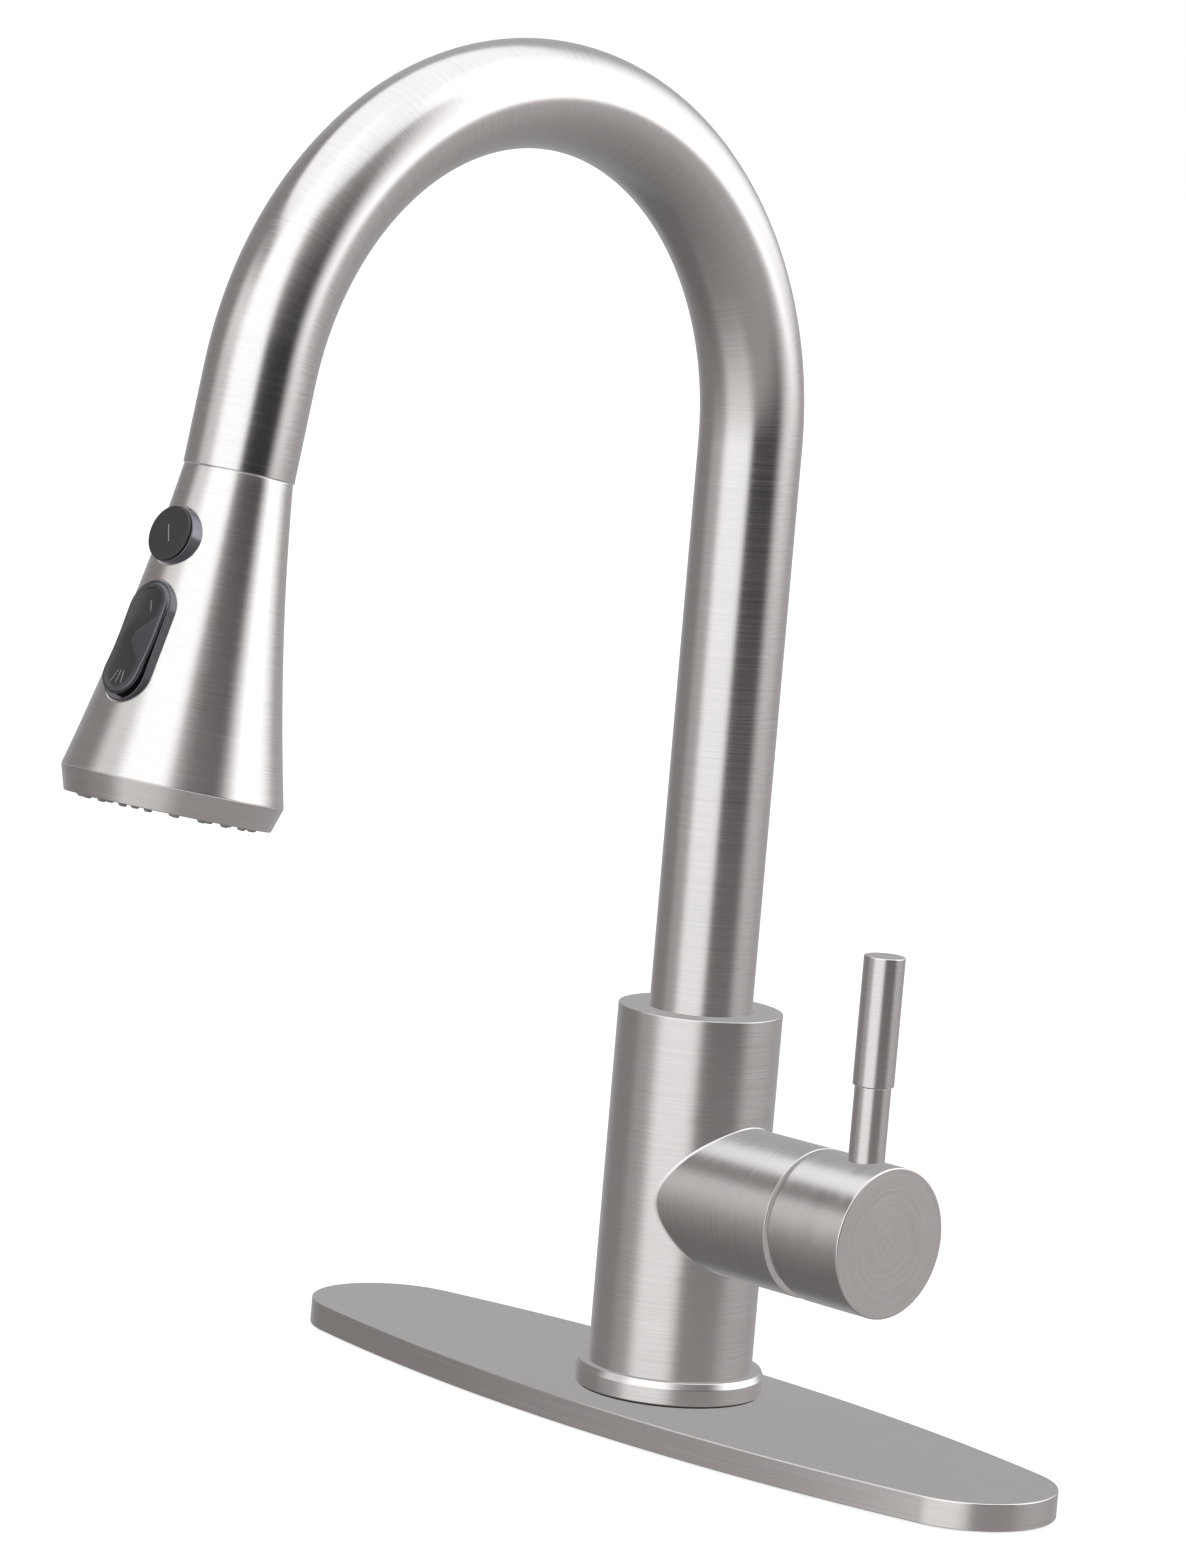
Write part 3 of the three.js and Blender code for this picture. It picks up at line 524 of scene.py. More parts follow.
def machined(name, dark, light, rough):
    """Plain turned metal on pieces that keep the CAD's mesh, which has no brushing coordinates."""
    material, principled, nodes = shader(name, Metallic=1.0)
    place = nodes.millimetres()
    scratches = nodes.noise(nodes.scaled(place, (0.15, 0.15, 4)), 1, 4)
    stain = nodes.noise(place, 1 / 6, 4)
    connect(
        nodes, principled,
        Base_Color=nodes.blend(nodes.ramp(stain, 0, 1, 0.3, 0.7), dark, light),
        Roughness=nodes.ramp(scratches, rough - 0.07, rough + 0.09, 0.3, 0.7),
        Normal=nodes.bump(scratches, 5e-6),
    )
    return material


def braided(name, dark, light, strands=16):
    """Nylon braid: two sets of flat strands that cross over and under each other."""
    material, principled, nodes = shader(name, Sheen_Weight=0.3, Sheen_Roughness=0.4)
    place = nodes.brushing()
    separate = nodes.add("ShaderNodeSeparateXYZ", {0: place})
    pitch = strands / HOSE_RADIUS
    u = nodes.math("MULTIPLY", separate.outputs[0], pitch)
    v = nodes.math("MULTIPLY", separate.outputs[1], pitch)
    right = nodes.math("SINE", nodes.math("ADD", u, v))
    left = nodes.math("SINE", nodes.math("SUBTRACT", u, v))
    weave = nodes.math("MULTIPLY", right, left)
    thread = nodes.noise(nodes.scaled(place, (6, 6, 6)), 1, 2)
    height = nodes.math("ADD", nodes.math("ABSOLUTE", weave), nodes.math("MULTIPLY", thread, 0.4))
    connect(
        nodes, principled,
        Base_Color=nodes.blend(nodes.ramp(weave, 0, 1, -0.4, 0.4), dark, light),
        Roughness=nodes.ramp(thread, 0.45, 0.7),
        Normal=nodes.bump(height, 1.5e-4),
    )
    return material


NICKEL = brushed_metal("brushed_nickel", (0.6, 0.587, 0.581), (0.685, 0.67, 0.664), 0.2)
PLAIN_STEEL = machined("plain_steel", (0.5, 0.5, 0.5), (0.64, 0.64, 0.63), 0.3)
BRASS = machined("machined_brass", (0.58, 0.43, 0.19), (0.76, 0.6, 0.3), 0.3)
CHARCOAL = moulded("charcoal_plastic", (0.016, 0.016, 0.019), (0.022, 0.022, 0.026), 0.34, IOR=1.65)
LACQUER = moulded(
    "charcoal_lacquer", (0.012, 0.012, 0.015), (0.018, 0.018, 0.022), 0.2, IOR=2.5,
    Specular_Tint=(0.88, 0.88, 1, 1))
SATIN = moulded(
    "charcoal_satin", (0.02, 0.02, 0.026), (0.027, 0.027, 0.034), 0.29, IOR=2.0,
    Specular_Tint=(0.9, 0.9, 1, 1))
# SHADOW: near-black matte pieces set into gaps and under rims, as painted shade in the crevices
SHADOW = moulded(
    "painted_shade_black", (0.003, 0.003, 0.003), (0.006, 0.006, 0.006), 0.85, Specular_IOR_Level=0.1)
BLACK = moulded("black_plastic", (0.014, 0.014, 0.015), (0.022, 0.022, 0.023), 0.45)
WHITE = moulded("natural_acetal", (0.6, 0.6, 0.56), (0.72, 0.72, 0.69), 0.42)
ALUMINA = moulded("alumina", (0.78, 0.77, 0.72), (0.86, 0.85, 0.81), 0.2, grain=0.12, depth=1e-6)
RUBBER = moulded("black_rubber", (0.012, 0.012, 0.012), (0.02, 0.02, 0.02), 0.8, grain=0.5, depth=1.5e-5)
SILICONE = moulded("grey_silicone", (0.3, 0.3, 0.305), (0.38, 0.38, 0.385), 0.45, grain=0.4)
BRAID = braided("nylon_braid", (0.035, 0.035, 0.04), (0.2, 0.2, 0.215))
ICON_INK = moulded("icon_ink", (0.32, 0.32, 0.34), (0.38, 0.38, 0.4), 0.5)

# The slot name for each material, which piece() works out but gives to nothing. The others default to black
# plastic.
SLOTS = {NICKEL: "brushed_metal", PLAIN_STEEL: "plain_steel", BRAID: "hose_nylon", SILICONE: "silicone"}


# ---------------- skins with openings
def window_skin(shape, surface, angles, levels, windows, around):
    """A closed grid of surface(u, v) points, with windows that narrow to the outlines of openings.

    A window is (columns, rows, outline): a range of columns, a range of rows, and a function from
    a direction in the window to the (u, v) place of the opening's edge. The result is the rings at
    both ends of the grid and a list of the rings round the openings.
    """
    grid = [shape.ring([surface(u, v) for u in angles]) for v in levels]
    for i in range(len(levels) - 1):
        open_columns = {j for columns, rows, _ in windows if i in rows for j in columns}
        shape.strip(grid[i], grid[i + 1], around, levels[i], levels[i + 1], open_columns)
    edges = [window_edge(shape, surface, angles, levels, grid, window, around) for window in windows]
    return grid[0], grid[-1], edges


def window_edge(shape, surface, angles, levels, grid, window, around, steps=7):
    columns, rows, outline = window
    left, right, top, bottom = columns[0], columns[-1] + 1, rows[0], rows[-1] + 1
    border = [(top, c) for c in range(left, right)] + [(r, right) for r in range(top, bottom)]
    border += [(bottom, c) for c in range(right, left, -1)] + [(r, left) for r in range(bottom, top, -1)]
    middle_u = (angles[left] + angles[right]) / 2
    middle_v = (levels[top] + levels[bottom]) / 2
    scale_u = around / (2 * pi)
    ring = [grid[r][c] for r, c in border]
    places = [(angles[c], levels[r]) for r, c in border]
    targets = [outline(atan2(v - middle_v, (u - middle_u) * scale_u)) for u, v in places]
    last = places
    for step in range(1, steps + 1):
        t = 1 - (1 - step / steps) ** 1.6
        mixed = [(a + (c - a) * t, b + (d - b) * t) for (a, b), (c, d) in zip(places, targets)]
        inner = shape.ring([surface(u, v) for u, v in mixed])
        for j in range(len(ring)):
            k = (j + 1) % len(ring)
            corners = [last[j], last[k], mixed[k], mixed[j]]
            shape.face([ring[j], ring[k], inner[k], inner[j]], [(u * scale_u, v) for u, v in corners])
        ring, last = inner, mixed
    return ring


# ---------------- deck plate, ring and body
def plate_outline(inset, per_arc=56):
    side = PLATE_SIDE_RADIUS
    side_centre = side - PLATE_HALF_WIDTH
    end_radius = (side**2 - PLATE_HALF_LENGTH**2 - side_centre**2) / (2 * (side - PLATE_HALF_LENGTH))
    end_centre = PLATE_HALF_LENGTH - end_radius
    meet = atan2(side_centre, end_centre)
    arcs = [
        (end_centre, 0, end_radius, -meet, meet),
        (0, -side_centre, side, meet, pi - meet),
        (-end_centre, 0, end_radius, pi - meet, pi + meet),
        (0, side_centre, side, pi + meet, 2 * pi - meet),
    ]
    points = []
    for x, y, radius, start, end in arcs:
        for i in range(per_arc):
            angle = start + (end - start) * i / per_arc
            points.append((x + (radius - inset) * cos(angle), y + (radius - inset) * sin(angle)))
    return points


def build_deck_plate():
    """A shallow pan: its wall, its rounded edge and a flat top, with the hole for the shank."""
    edge = quarter_round(PLATE_TOP, 0.35)
    flat_from = edge[-1][0] + 0.6
    underside = PLATE_TOP - PLATE_WALL
    shape = Shape()
    foot = [(PLATE_WALL, underside), (PLATE_WALL, GAP), (0.2, GAP), (0, GAP + 0.2)]
    profile = [*foot, *edge, (flat_from, PLATE_TOP)]
    rings = [shape.ring([(x, y, z) for x, y in plate_outline(inset)]) for inset, z in profile]
    around = 4 * PLATE_HALF_LENGTH
    for a, b, (_, from_v), (_, to_v) in zip(rings, rings[1:], profile, profile[1:]):
        shape.strip(a, b, around, from_v, to_v)

    hole = SHANK_RADIUS + 0.7
    directions = [Vector(p).normalized() for p in plate_outline(flat_from)]
    walls = [shape.ring([(*d * hole, z) for d in directions]) for z in (underside, PLATE_TOP)]
    shape.flat_strip(rings[0], walls[0])
    shape.flat_strip(rings[-1], walls[1])
    shape.strip(walls[0], walls[1], around, 0, PLATE_WALL)
    piece("deck_plate_brushed", shape, NICKEL, "base", ["deck_plate"])


def build_base_ring():
    bottom = PLATE_TOP + 0.7
    inner = SHANK_RADIUS + 2 + GAP
    ledge = BODY_BOTTOM - GAP
    shape = turned([
        (inner, bottom, 0.2),
        (RING_RADIUS, bottom, 0.35),
        (RING_RADIUS, RING_TOP - 1.7, 0.4),
        (RING_RADIUS - 0.8, RING_TOP, 0.3),
        (BODY_RADIUS + GAP, RING_TOP, 0.25),
        (BODY_RADIUS + GAP, ledge, 0),
        (inner, ledge, 0),
    ])
    piece("base_ring_brushed", shape, NICKEL, "base", ["base_ring"])


def build_body():
    """The body's tube, with the port that the handle's housing covers, and its lipped top."""
    shape = Shape()
    around = 2 * pi * BODY_RADIUS
    angles = bearings(start=-pi)
    port = HORN_BORE + GAP
    fillet = 0.25
    levels = [BODY_BOTTOM, *even(28, 98, 44), BODY_TOP - fillet]
    near_port = [i for i, z in enumerate(levels) if abs(z - HANDLE_Z) < port + 3.5]
    rows = range(near_port[0], near_port[-1])
    half = SIDES // 2
    columns = range(half - 24, half + 24)

    def skin(radius):
        def surface(u, v):
            return (radius * cos(u), radius * sin(u), v)

        def outline(direction):
            return asin(port * cos(direction) / radius), HANDLE_Z + port * sin(direction)

        return window_skin(shape, surface, angles, levels, [(columns, rows, outline)], around)

    wall = BODY_RADIUS - BODY_INNER
    outer_bottom, outer_top, (outer_port,) = skin(BODY_RADIUS)
    inner_bottom, inner_top, (inner_port,) = skin(BODY_INNER)
    shape.strip(outer_bottom, inner_bottom, around, 0, wall)
    shape.strip(outer_port, inner_port, around, 0, wall)

    mouth = TUBE_RADIUS + 0.4
    lip = BODY_TOP - BODY_LIP
    corners = [(mouth, BODY_TOP, 0.3), (mouth, lip, 0), (BODY_INNER, lip, 0), (BODY_INNER, lip - 1, 0)]
    top = [(BODY_RADIUS - i, z) for i, z in quarter_round(BODY_TOP, fillet)][1:]
    bore = rounded([(BODY_RADIUS, BODY_TOP, 0), *corners])[1:-1]
    rings = shape.circles([*top, *bore], start=-pi)
    shape.join([outer_top, *rings, inner_top], around, start=BODY_TOP)
    piece("body_brushed", shape, NICKEL, "base", ["body_shell"])


# ---------------- handle
def build_handle_housing():
    """The side tube. Its root follows the body's round wall and flares into it over a thin weld."""
    shape = Shape(HANDLE)
    around = 2 * pi * HORN_RADIUS
    weld = 0.45
    mouth = [(HORN_RADIUS - i, z) for i, z in quarter_round(HORN_END, 0.22)]

    def root(radius, angle, out=0.0):
        y = (radius + out) * sin(angle)
        return sqrt(BODY_RADIUS**2 - min(abs(y), BODY_RADIUS - 0.5) ** 2)

    def ring_at(radius, depth):
        return shape.ring([(radius * cos(a), radius * sin(a), depth(a)) for a in bearings()])

    def weld_ring(t):
        grow = weld * (1 - sin(t))
        rise = weld * (1 - cos(t)) - 0.02
        return ring_at(HORN_RADIUS + grow, lambda a: root(HORN_RADIUS, a, grow) + rise)

    rings = [ring_at(HORN_BORE + 0.2, lambda a: root(HORN_BORE + 0.2, a) - 0.4)]
    rings += [weld_ring(t) for t in even(0, pi / 2, 4)]
    mouth += [(HORN_BORE + 0.2, HORN_END), (HORN_BORE, HORN_END - 0.2)]
    rings += shape.circles([(HORN_RADIUS, 40), *mouth])
    rings.append(ring_at(HORN_BORE, lambda a: root(HORN_BORE, a) + 0.4))
    shape.join(rings, around, closed=True)
    piece("handle_housing_brushed", shape, NICKEL, "base", ["handle_housing"])


def cap_start(angle):
    """Where the cap's rear rim lies: its lower half is cut back for the tilt. Local +X is down."""
    return CAP_START + CAP_RELIEF * max(0.0, cos(angle))


def build_handle_cap():
    """The cap, as a skin with the set screw's hole, its end face, its rear rim and its hollow."""
    shape = Shape(HANDLE)
    around = 2 * pi * HORN_RADIUS
    fillet, hole_depth = 0.4, 4
    screw_at = LEVER_X - 1
    start_angle = pi / SIDES - pi / 2
    angles = bearings(start=start_angle)

    def span(angle):
        """Where the skin starts and ends, between the rims' roundings."""
        return cap_start(angle) + 0.35, CAP_END - fillet

    def surface(u, v):
        start, end = span(u)
        return (HORN_RADIUS * cos(u), HORN_RADIUS * sin(u), start + (end - start) * v)

    def screw_hole(direction):
        u = pi / 2 - asin(SET_SCREW_HOLE * cos(direction) / HORN_RADIUS)
        start, end = span(u)
        return u, (screw_at + SET_SCREW_HOLE * sin(direction) - start) / (end - start)

    half = SIDES // 2
    window = (range(half - 7, half + 7), range(10, 24), screw_hole)
    first, last, (hole,) = window_skin(shape, surface, angles, even(0, 1, 30), [window], around)
    edge = [HANDLE.inverted() @ shape.points[i] for i in hole]
    deep = shape.ring([(p.x, p.y - hole_depth, p.z) for p in edge])
    shape.strip(hole, deep, around, 0, hole_depth)
    shape.cap(deep)

    def rim(radius, rise):
        return shape.ring([(radius * cos(a), radius * sin(a), cap_start(a) + rise) for a in angles])

    face = [(HORN_RADIUS - i, z) for i, z in quarter_round(CAP_END, fillet)[1:]]
    shape.join([last, *shape.circles([*face, (0, CAP_END)], start=start_angle)], around)
    rims = [rim(HORN_RADIUS - 0.1, 0.1), rim(HORN_RADIUS - 0.35, 0)]
    rims += [rim(CAP_HOLLOW + 0.2, 0), rim(CAP_HOLLOW, 0.2)]
    hollow = [(CAP_HOLLOW, CAP_FLOOR), (STEM_SOCKET_RADIUS, CAP_FLOOR)]
    hollow += [(STEM_SOCKET_RADIUS, STEM_SOCKET_END), (0, STEM_SOCKET_END)]
    shape.join([first, *rims, *shape.circles(hollow, start=start_angle)], around)
    piece("handle_cap_brushed", shape, NICKEL, "handle", ["handle_cap"])


def build_bonnet():
    """A thin dome centred on the tilt axis, seen in the gap between the housing and the cap."""
    dome, wall, mouth, start = 24, 1.3, 11.6, 44
    skirt = HORN_BORE - GAP

    def arc(radius, edge):
        angles = even(asin(edge / radius), asin(mouth / radius), 10)
        return [(radius * sin(a), TILT_PIVOT + radius * cos(a), 0) for a in angles]

    foot = [(skirt - wall, start, 0), (skirt, start, 0)]
    bonnet = turned([*foot, *arc(dome, skirt), *arc(dome - wall, skirt - wall)[::-1]], SIDES, HANDLE)
    piece("bonnet_brushed", bonnet, NICKEL, "base", ["cartridge_bonnet"])


def build_lever():
    """The stem, which stands on the round cap, the thicker grip, and a matte black disc at the step as a
    painted shadow line.
    """
    foot = HORN_RADIUS + 0.12
    top = LEVER_STEP_Z - 0.15
    shape = Shape(LEVER)
    outline = circle(LEVER_THIN, SMALL_SIDES)
    saddle = shape.ring([(x, y, HANDLE_Z + sqrt(foot**2 - y**2)) for x, y, _ in outline])
    edge = [(LEVER_THIN - i, z) for i, z in quarter_round(top, 0.08, 3)]
    middle, *upper = shape.circles([(0, HANDLE_Z + foot - 2), *edge, (0, top)], SMALL_SIDES)
    shape.join([middle, saddle, *upper], 2 * pi * LEVER_THIN)
    piece("lever_stem_brushed", shape, NICKEL, "handle", ["lever_stem"])

    rims = (0, 0.1, 0.35, 0)
    grip = tube(0, LEVER_THICK, LEVER_STEP_Z + 0.15, LEVER_TOP_Z, SMALL_SIDES, LEVER, rims, 4)
    piece("lever_grip_brushed", grip, NICKEL, "handle", ["lever_grip"])
    # A near-black disc in the step: painted shade for the dark line there
    groove = tube(0, LEVER_THIN - 0.2, LEVER_STEP_Z - 0.13, LEVER_STEP_Z + 0.13, SMALL_SIDES, LEVER, SQUARE)
    piece("lever_step_painted_shade", groove, SHADOW, "handle")


# ---------------- spout and hose
def gooseneck(start, tip_length, step=2.5):
    """Places (point, direction) along the spout's centreline, from a height on the riser to the tip."""
    riser = STRAIGHT_TOP - start
    bend = ARCH_RADIUS * ARCH_SWEEP
    places = []
    for length in [
        *even(0, riser, ceil(riser / 8)),
        *even(riser, riser + bend, ceil(bend / step))[1:],
        *even(riser + bend, riser + bend + tip_length, max(1, ceil(tip_length / 8)))[1:],
    ]:
        angle = min(max((length - riser) / ARCH_RADIUS, 0), ARCH_SWEEP)
        below = min(length - riser, 0)
        past = max(length - riser - bend, 0)
        direction = Vector((0, -sin(angle), cos(angle)))
        on_bend = Vector((0, cos(angle) - 1, sin(angle))) * ARCH_RADIUS + Vector((0, 0, STRAIGHT_TOP))
        places.append((on_bend + direction * (below + past), direction))
    return places


def pipe(places, outer, bore, sides=SIDES, fillet=0.3):
    """A pipe along places, with its ends rounded over."""
    shape = Shape()
    side = Vector((1, 0, 0))
    around = 2 * pi * outer

    def ring(place, radius, back=0.0):
        point, direction = place
        up = direction.cross(side)
        centre = point + direction * back
        return shape.ring([centre + (side * cos(a) + up * sin(a)) * radius for a in bearings(sides)])

    edge = quarter_round(0, fillet, 3)
    rings = [ring(places[0], outer - inset, -z) for inset, z in edge[::-1]]
    rings += [ring(place, outer) for place in places[1:-1]]
    rings += [ring(places[-1], outer - inset, z) for inset, z in edge]
    rings += [ring(place, bore) for place in places[::-1]]
    shape.join(rings, around, closed=True)
    return shape


def build_spout():
    shape = pipe(gooseneck(TUBE_BOTTOM, TIP_LENGTH - SEAM_GAP), TUBE_RADIUS, TUBE_BORE, fillet=0.15)
    piece("spout_tube_brushed", shape, NICKEL, "spout", ["spout_tube"])
    bush = tube(9.9, TUBE_BORE - GAP, -16, -0.6, MEDIUM_SIDES, HEAD)
    piece("dock_bush_moulded", bush, BLACK, "spout", ["dock_bush"])


def build_hose():
    """The hose: one piece in the riser and most of the bend, and its last part as another."""
    places = gooseneck(HOSE_SPLIT + 0.4, TIP_LENGTH + HOSE_END)
    split = sum(direction.z > cos(HOSE_FREE_ANGLE) for _, direction in places)
    still = pipe(places[:split], HOSE_RADIUS, HOSE_BORE, 40)
    piece("pull_out_hose_braided", still, BRAID, "spout", ["pull_out_hose"])

    free = pipe(finer(places[split - 1:], 4)[1:], HOSE_RADIUS, HOSE_BORE, 40)
    braid_for_drawn_hose(free)
    start, end = (HEAD @ Vector((0, 0, along)) * MM for along in HOSE_STRETCH)
    piece("pull_out_hose_end", free, BRAID, "spout", ["pull_out_hose"], to=("hose_end", start, end))


def finer(places, parts):
    """The same run of places with each step cut into equal parts."""
    result = [places[0]]
    for (p, d), (q, e) in zip(places, places[1:]):
        result += [(p.lerp(q, i / parts), d.lerp(e, i / parts).normalized()) for i in range(1, parts + 1)]
    return result


def braid_for_drawn_hose(shape):
    """Closes up the braid's pattern along the span of HOSE_STRETCH, by up to the head's full pull."""
    into_head = HEAD.inverted()
    start, end = HOSE_STRETCH
    for corners, brush in zip(shape.faces, shape.brush):
        for i, corner in enumerate(corners):
            t = min(max(((into_head @ shape.points[corner]).z - start) / (end - start), 0), 1)
            u, v = brush[i]
            brush[i] = (u, v + HEAD_PULL * t * t * (3 - 2 * t))


def build_hose_end():
    """The ferrule crimped on the hose, and the nut that turns on it."""
    start, end, radius, rims = HOSE_END - 9, -12.5, 7.7, (0.2, 0.6, 0.4, 0.2)
    ferrule = tube(HOSE_RADIUS + GAP, radius, start, end, SMALL_SIDES, HEAD, rims, 4)
    piece("hose_ferrule_crimped", ferrule, NICKEL, "hose_end", ["hose_ferrule"], slot="plain_steel")

    nut = turned([
        (5.6, -10, 0.3),
        (8.3, -10, 0.3),
        (9, -9.3, 0.2),
        (9, 6.8, 0.3),
        (7.7, 6.8, 0.2),
        (7.7, -4.4, 0.2),
        (5.6, -5.6, 0.2),
    ], SMALL_SIDES, HEAD)
    piece("swivel_nut_plated", nut, PLAIN_STEEL, "spray_head", ["swivel_nut"], slot="brass")


# ---------------- spray head
def on_flare(place, x, y, radius_at):
    """Where a line through (x, y) of a control's frame meets the head's wall: (angle from front, along)."""
    height = 0.0
    for _ in range(6):
        point = place @ Vector((x, y, height))
        height += radius_at(point.z) - hypot(point.x, point.y)
    return atan2(point.x, point.y), point.z


def stadium_edge(radius, half_straight, direction):
    """The edge of a stadium along Y, in a direction from its middle."""
    x, y = cos(direction), sin(direction)
    if abs(y) * radius <= half_straight * abs(x):
        return radius * copysign(1, x), radius * y / abs(x)
    across = half_straight * abs(y)
    reach = across + sqrt(across**2 - half_straight**2 + radius**2)
    return reach * x, reach * y


def soft_rim(shape, outer, inner, control, rim, around):
    """Rounds a control's opening over, from the ring on the head's outside to the one on its inside."""
    back = (HEAD @ control).inverted()
    pairs = [(back @ shape.points[i], back @ shape.points[j]) for i, j in zip(outer, inner)]
    rings = [outer]
    for inset, z in quarter_round(0, 1, 3)[::-1][1:]:
        moved = [a + Vector((*(b - a).xy * (1 - inset), 0)) + Vector((0, 0, rim * z)) for a, b in pairs]
        rings.append(shape.ring([control @ point for point in moved]))
    shape.join([*rings, inner], around)


def build_head_shell():
    """The flared shell, as two skins joined at its ends and round the openings for the controls."""
    shape = Shape(HEAD)
    around = 2 * pi * HEAD_WIDE_RADIUS
    angles = bearings(start=-pi)
    pause_start, pause_end, rocker_end = 7, 27.4, 66
    levels = [0.4, 2.5, 4.75, *even(pause_start, pause_end, 10), *even(pause_end, rocker_end, 19)[1:]]
    levels += even(rocker_end, HEAD_LENGTH - 0.2, 6)[1:]
    half = SIDES // 2
    pause_rows = range(levels.index(pause_start), levels.index(pause_end))
    rocker_rows = range(levels.index(pause_end), levels.index(rocker_end))

    def skin(inset, grow):
        def radius_at(along):
            return flare_radius(along) - inset

        def surface(u, v):
            return (radius_at(v) * sin(u), radius_at(v) * cos(u), v)

        def opening(along, radius, half_straight):
            place = control_place(along)

            def outline(direction):
                x, y = stadium_edge(radius + grow, half_straight, direction)
                return on_flare(place, x, -y, radius_at)
            return outline

        windows = [
            (range(half - 14, half + 14), pause_rows, opening(PAUSE_AT, PAUSE_RADIUS + GAP, 0)),
            (range(half - 11, half + 11), rocker_rows,
             opening(ROCKER_AT, FRAME_RADIUS + GAP, ROCKER_HALF_STRAIGHT)),
        ]
        return window_skin(shape, surface, angles, levels, windows, around)

    rim = 0.25
    outer_top, outer_bottom, outer_edges = skin(0, rim)
    inner_top, inner_bottom, inner_edges = skin(HEAD_WALL, 0)
    for outer, inner, along in zip(outer_edges, inner_edges, (PAUSE_AT, ROCKER_AT)):
        soft_rim(shape, outer, inner, control_place(along), rim, around)

    def ring(radius, z):
        return shape.ring([(radius * sin(a), radius * cos(a), z) for a in angles])

    top = [ring(HEAD_TOP_RADIUS - i, SEAM_GAP + z) for i, z in ((0.07, 0.07), (0.25, 0), (HEAD_WALL, 0))]
    shape.join([outer_top, *top, inner_top], around)
    end = HEAD_LENGTH - SEAM_GAP
    bottom = [ring(HEAD_WIDE_RADIUS - i, end - z) for i, z in ((0.05, 0.05), (0.12, 0), (HEAD_WALL, 0))]
    shape.join([outer_bottom, *bottom, inner_bottom], around)
    piece("head_shell_brushed", shape, NICKEL, "spray_head", ["spray_head_shell"])


def nozzle_places():
    return [(x, y) for count, radius in NOZZLE_RINGS for x, y, _ in circle(radius, count)]


def punched_disc(inner, outer, bottom, top, holes, hole_radius, hole_sides=20, place=HEAD):
    """A flat disc with round holes through it."""
    shape = Shape(place)

    def outline(centre, radius, sides):
        return [(centre[0] + x, centre[1] + y) for x, y, _ in circle(radius, sides)]

    outlines = [outline((0, 0), outer, SIDES)] + [outline(h, hole_radius, hole_sides) for h in holes]
    if inner:
        outlines.append(outline((0, 0), inner, 64))

    def solid(point):
        clear = all((point - Vector(h)).length > hole_radius * 0.97 for h in holes)
        return clear and inner * 0.998 < point.length < outer

    for z in (bottom, top):
        shape.flat(outlines, solid, z)
    for line in outlines:
        walls = [shape.ring([(x, y, z) for x, y in line]) for z in (bottom, top)]
        shape.strip(walls[0], walls[1], 10, 0, top - bottom)
    return shape


def build_spray_outlet():
    bezel = turned([
        (BEZEL_END_RADIUS - 1.4, HEAD_LENGTH, 0),
        (HEAD_WIDE_RADIUS, HEAD_LENGTH, 0.12),
        (BEZEL_END_RADIUS, BEZEL_END, 0.3),
        (BEZEL_END_RADIUS - 1.4, BEZEL_END, 0.3),
    ], SIDES, HEAD)
    piece("spray_bezel_brushed", bezel, NICKEL, "spray_head", ["spray_bezel"])

    start = BEZEL_END - 2.4
    face = punched_disc(11, BEZEL_END_RADIUS - 1.7, start, BEZEL_END - 0.4, nozzle_places(), NOZZLE_HOLE)
    piece("spray_face_moulded", face, BLACK, "spray_head", ["spray_face"])

    mat = tube(11.4, BEZEL_END_RADIUS - 2, start - 2.2, start - 0.2, MEDIUM_SIDES, HEAD)
    tip, jet_floor = BEZEL_END + 0.75, BEZEL_END - 0.5
    nub = rounded([(1.15, start - 1, 0), (1.1, tip, 0.6), (0.4, tip, 0.05)])
    outline = [(0, start - 1), *nub, (0.35, jet_floor), (0, jet_floor)]
    for x, y in nozzle_places():
        mat.place = HEAD @ shift(x, y, 0)
        mat.join(mat.circles(outline, 20), 7)
    piece("nozzle_mat_moulded", mat, SILICONE, "spray_head", ["nozzle_mat"])

    housing = tube(AERATOR_BORE, AERATOR_RADIUS, BEZEL_END - 6.5, BEZEL_END - 0.2, MEDIUM_SIDES, HEAD)
    piece("aerator_housing_moulded", housing, BLACK, "spray_head", ["aerator_housing"])
    holes = []
    for row in range(-4, 5):
        for column in range(-5, 6):
            x = (column + 0.5 * (row % 2)) * SCREEN_PITCH
            y = row * SCREEN_PITCH * sin(pi / 3)
            if hypot(x, y) < SCREEN_RADIUS - 1:
                holes.append((x, y))
    screen = punched_disc(0, SCREEN_RADIUS, BEZEL_END - 2.6, BEZEL_END - 1.6, holes, SCREEN_HOLE, 6)
    piece("aerator_screen_punched", screen, PLAIN_STEEL, "spray_head", ["aerator_screen"])


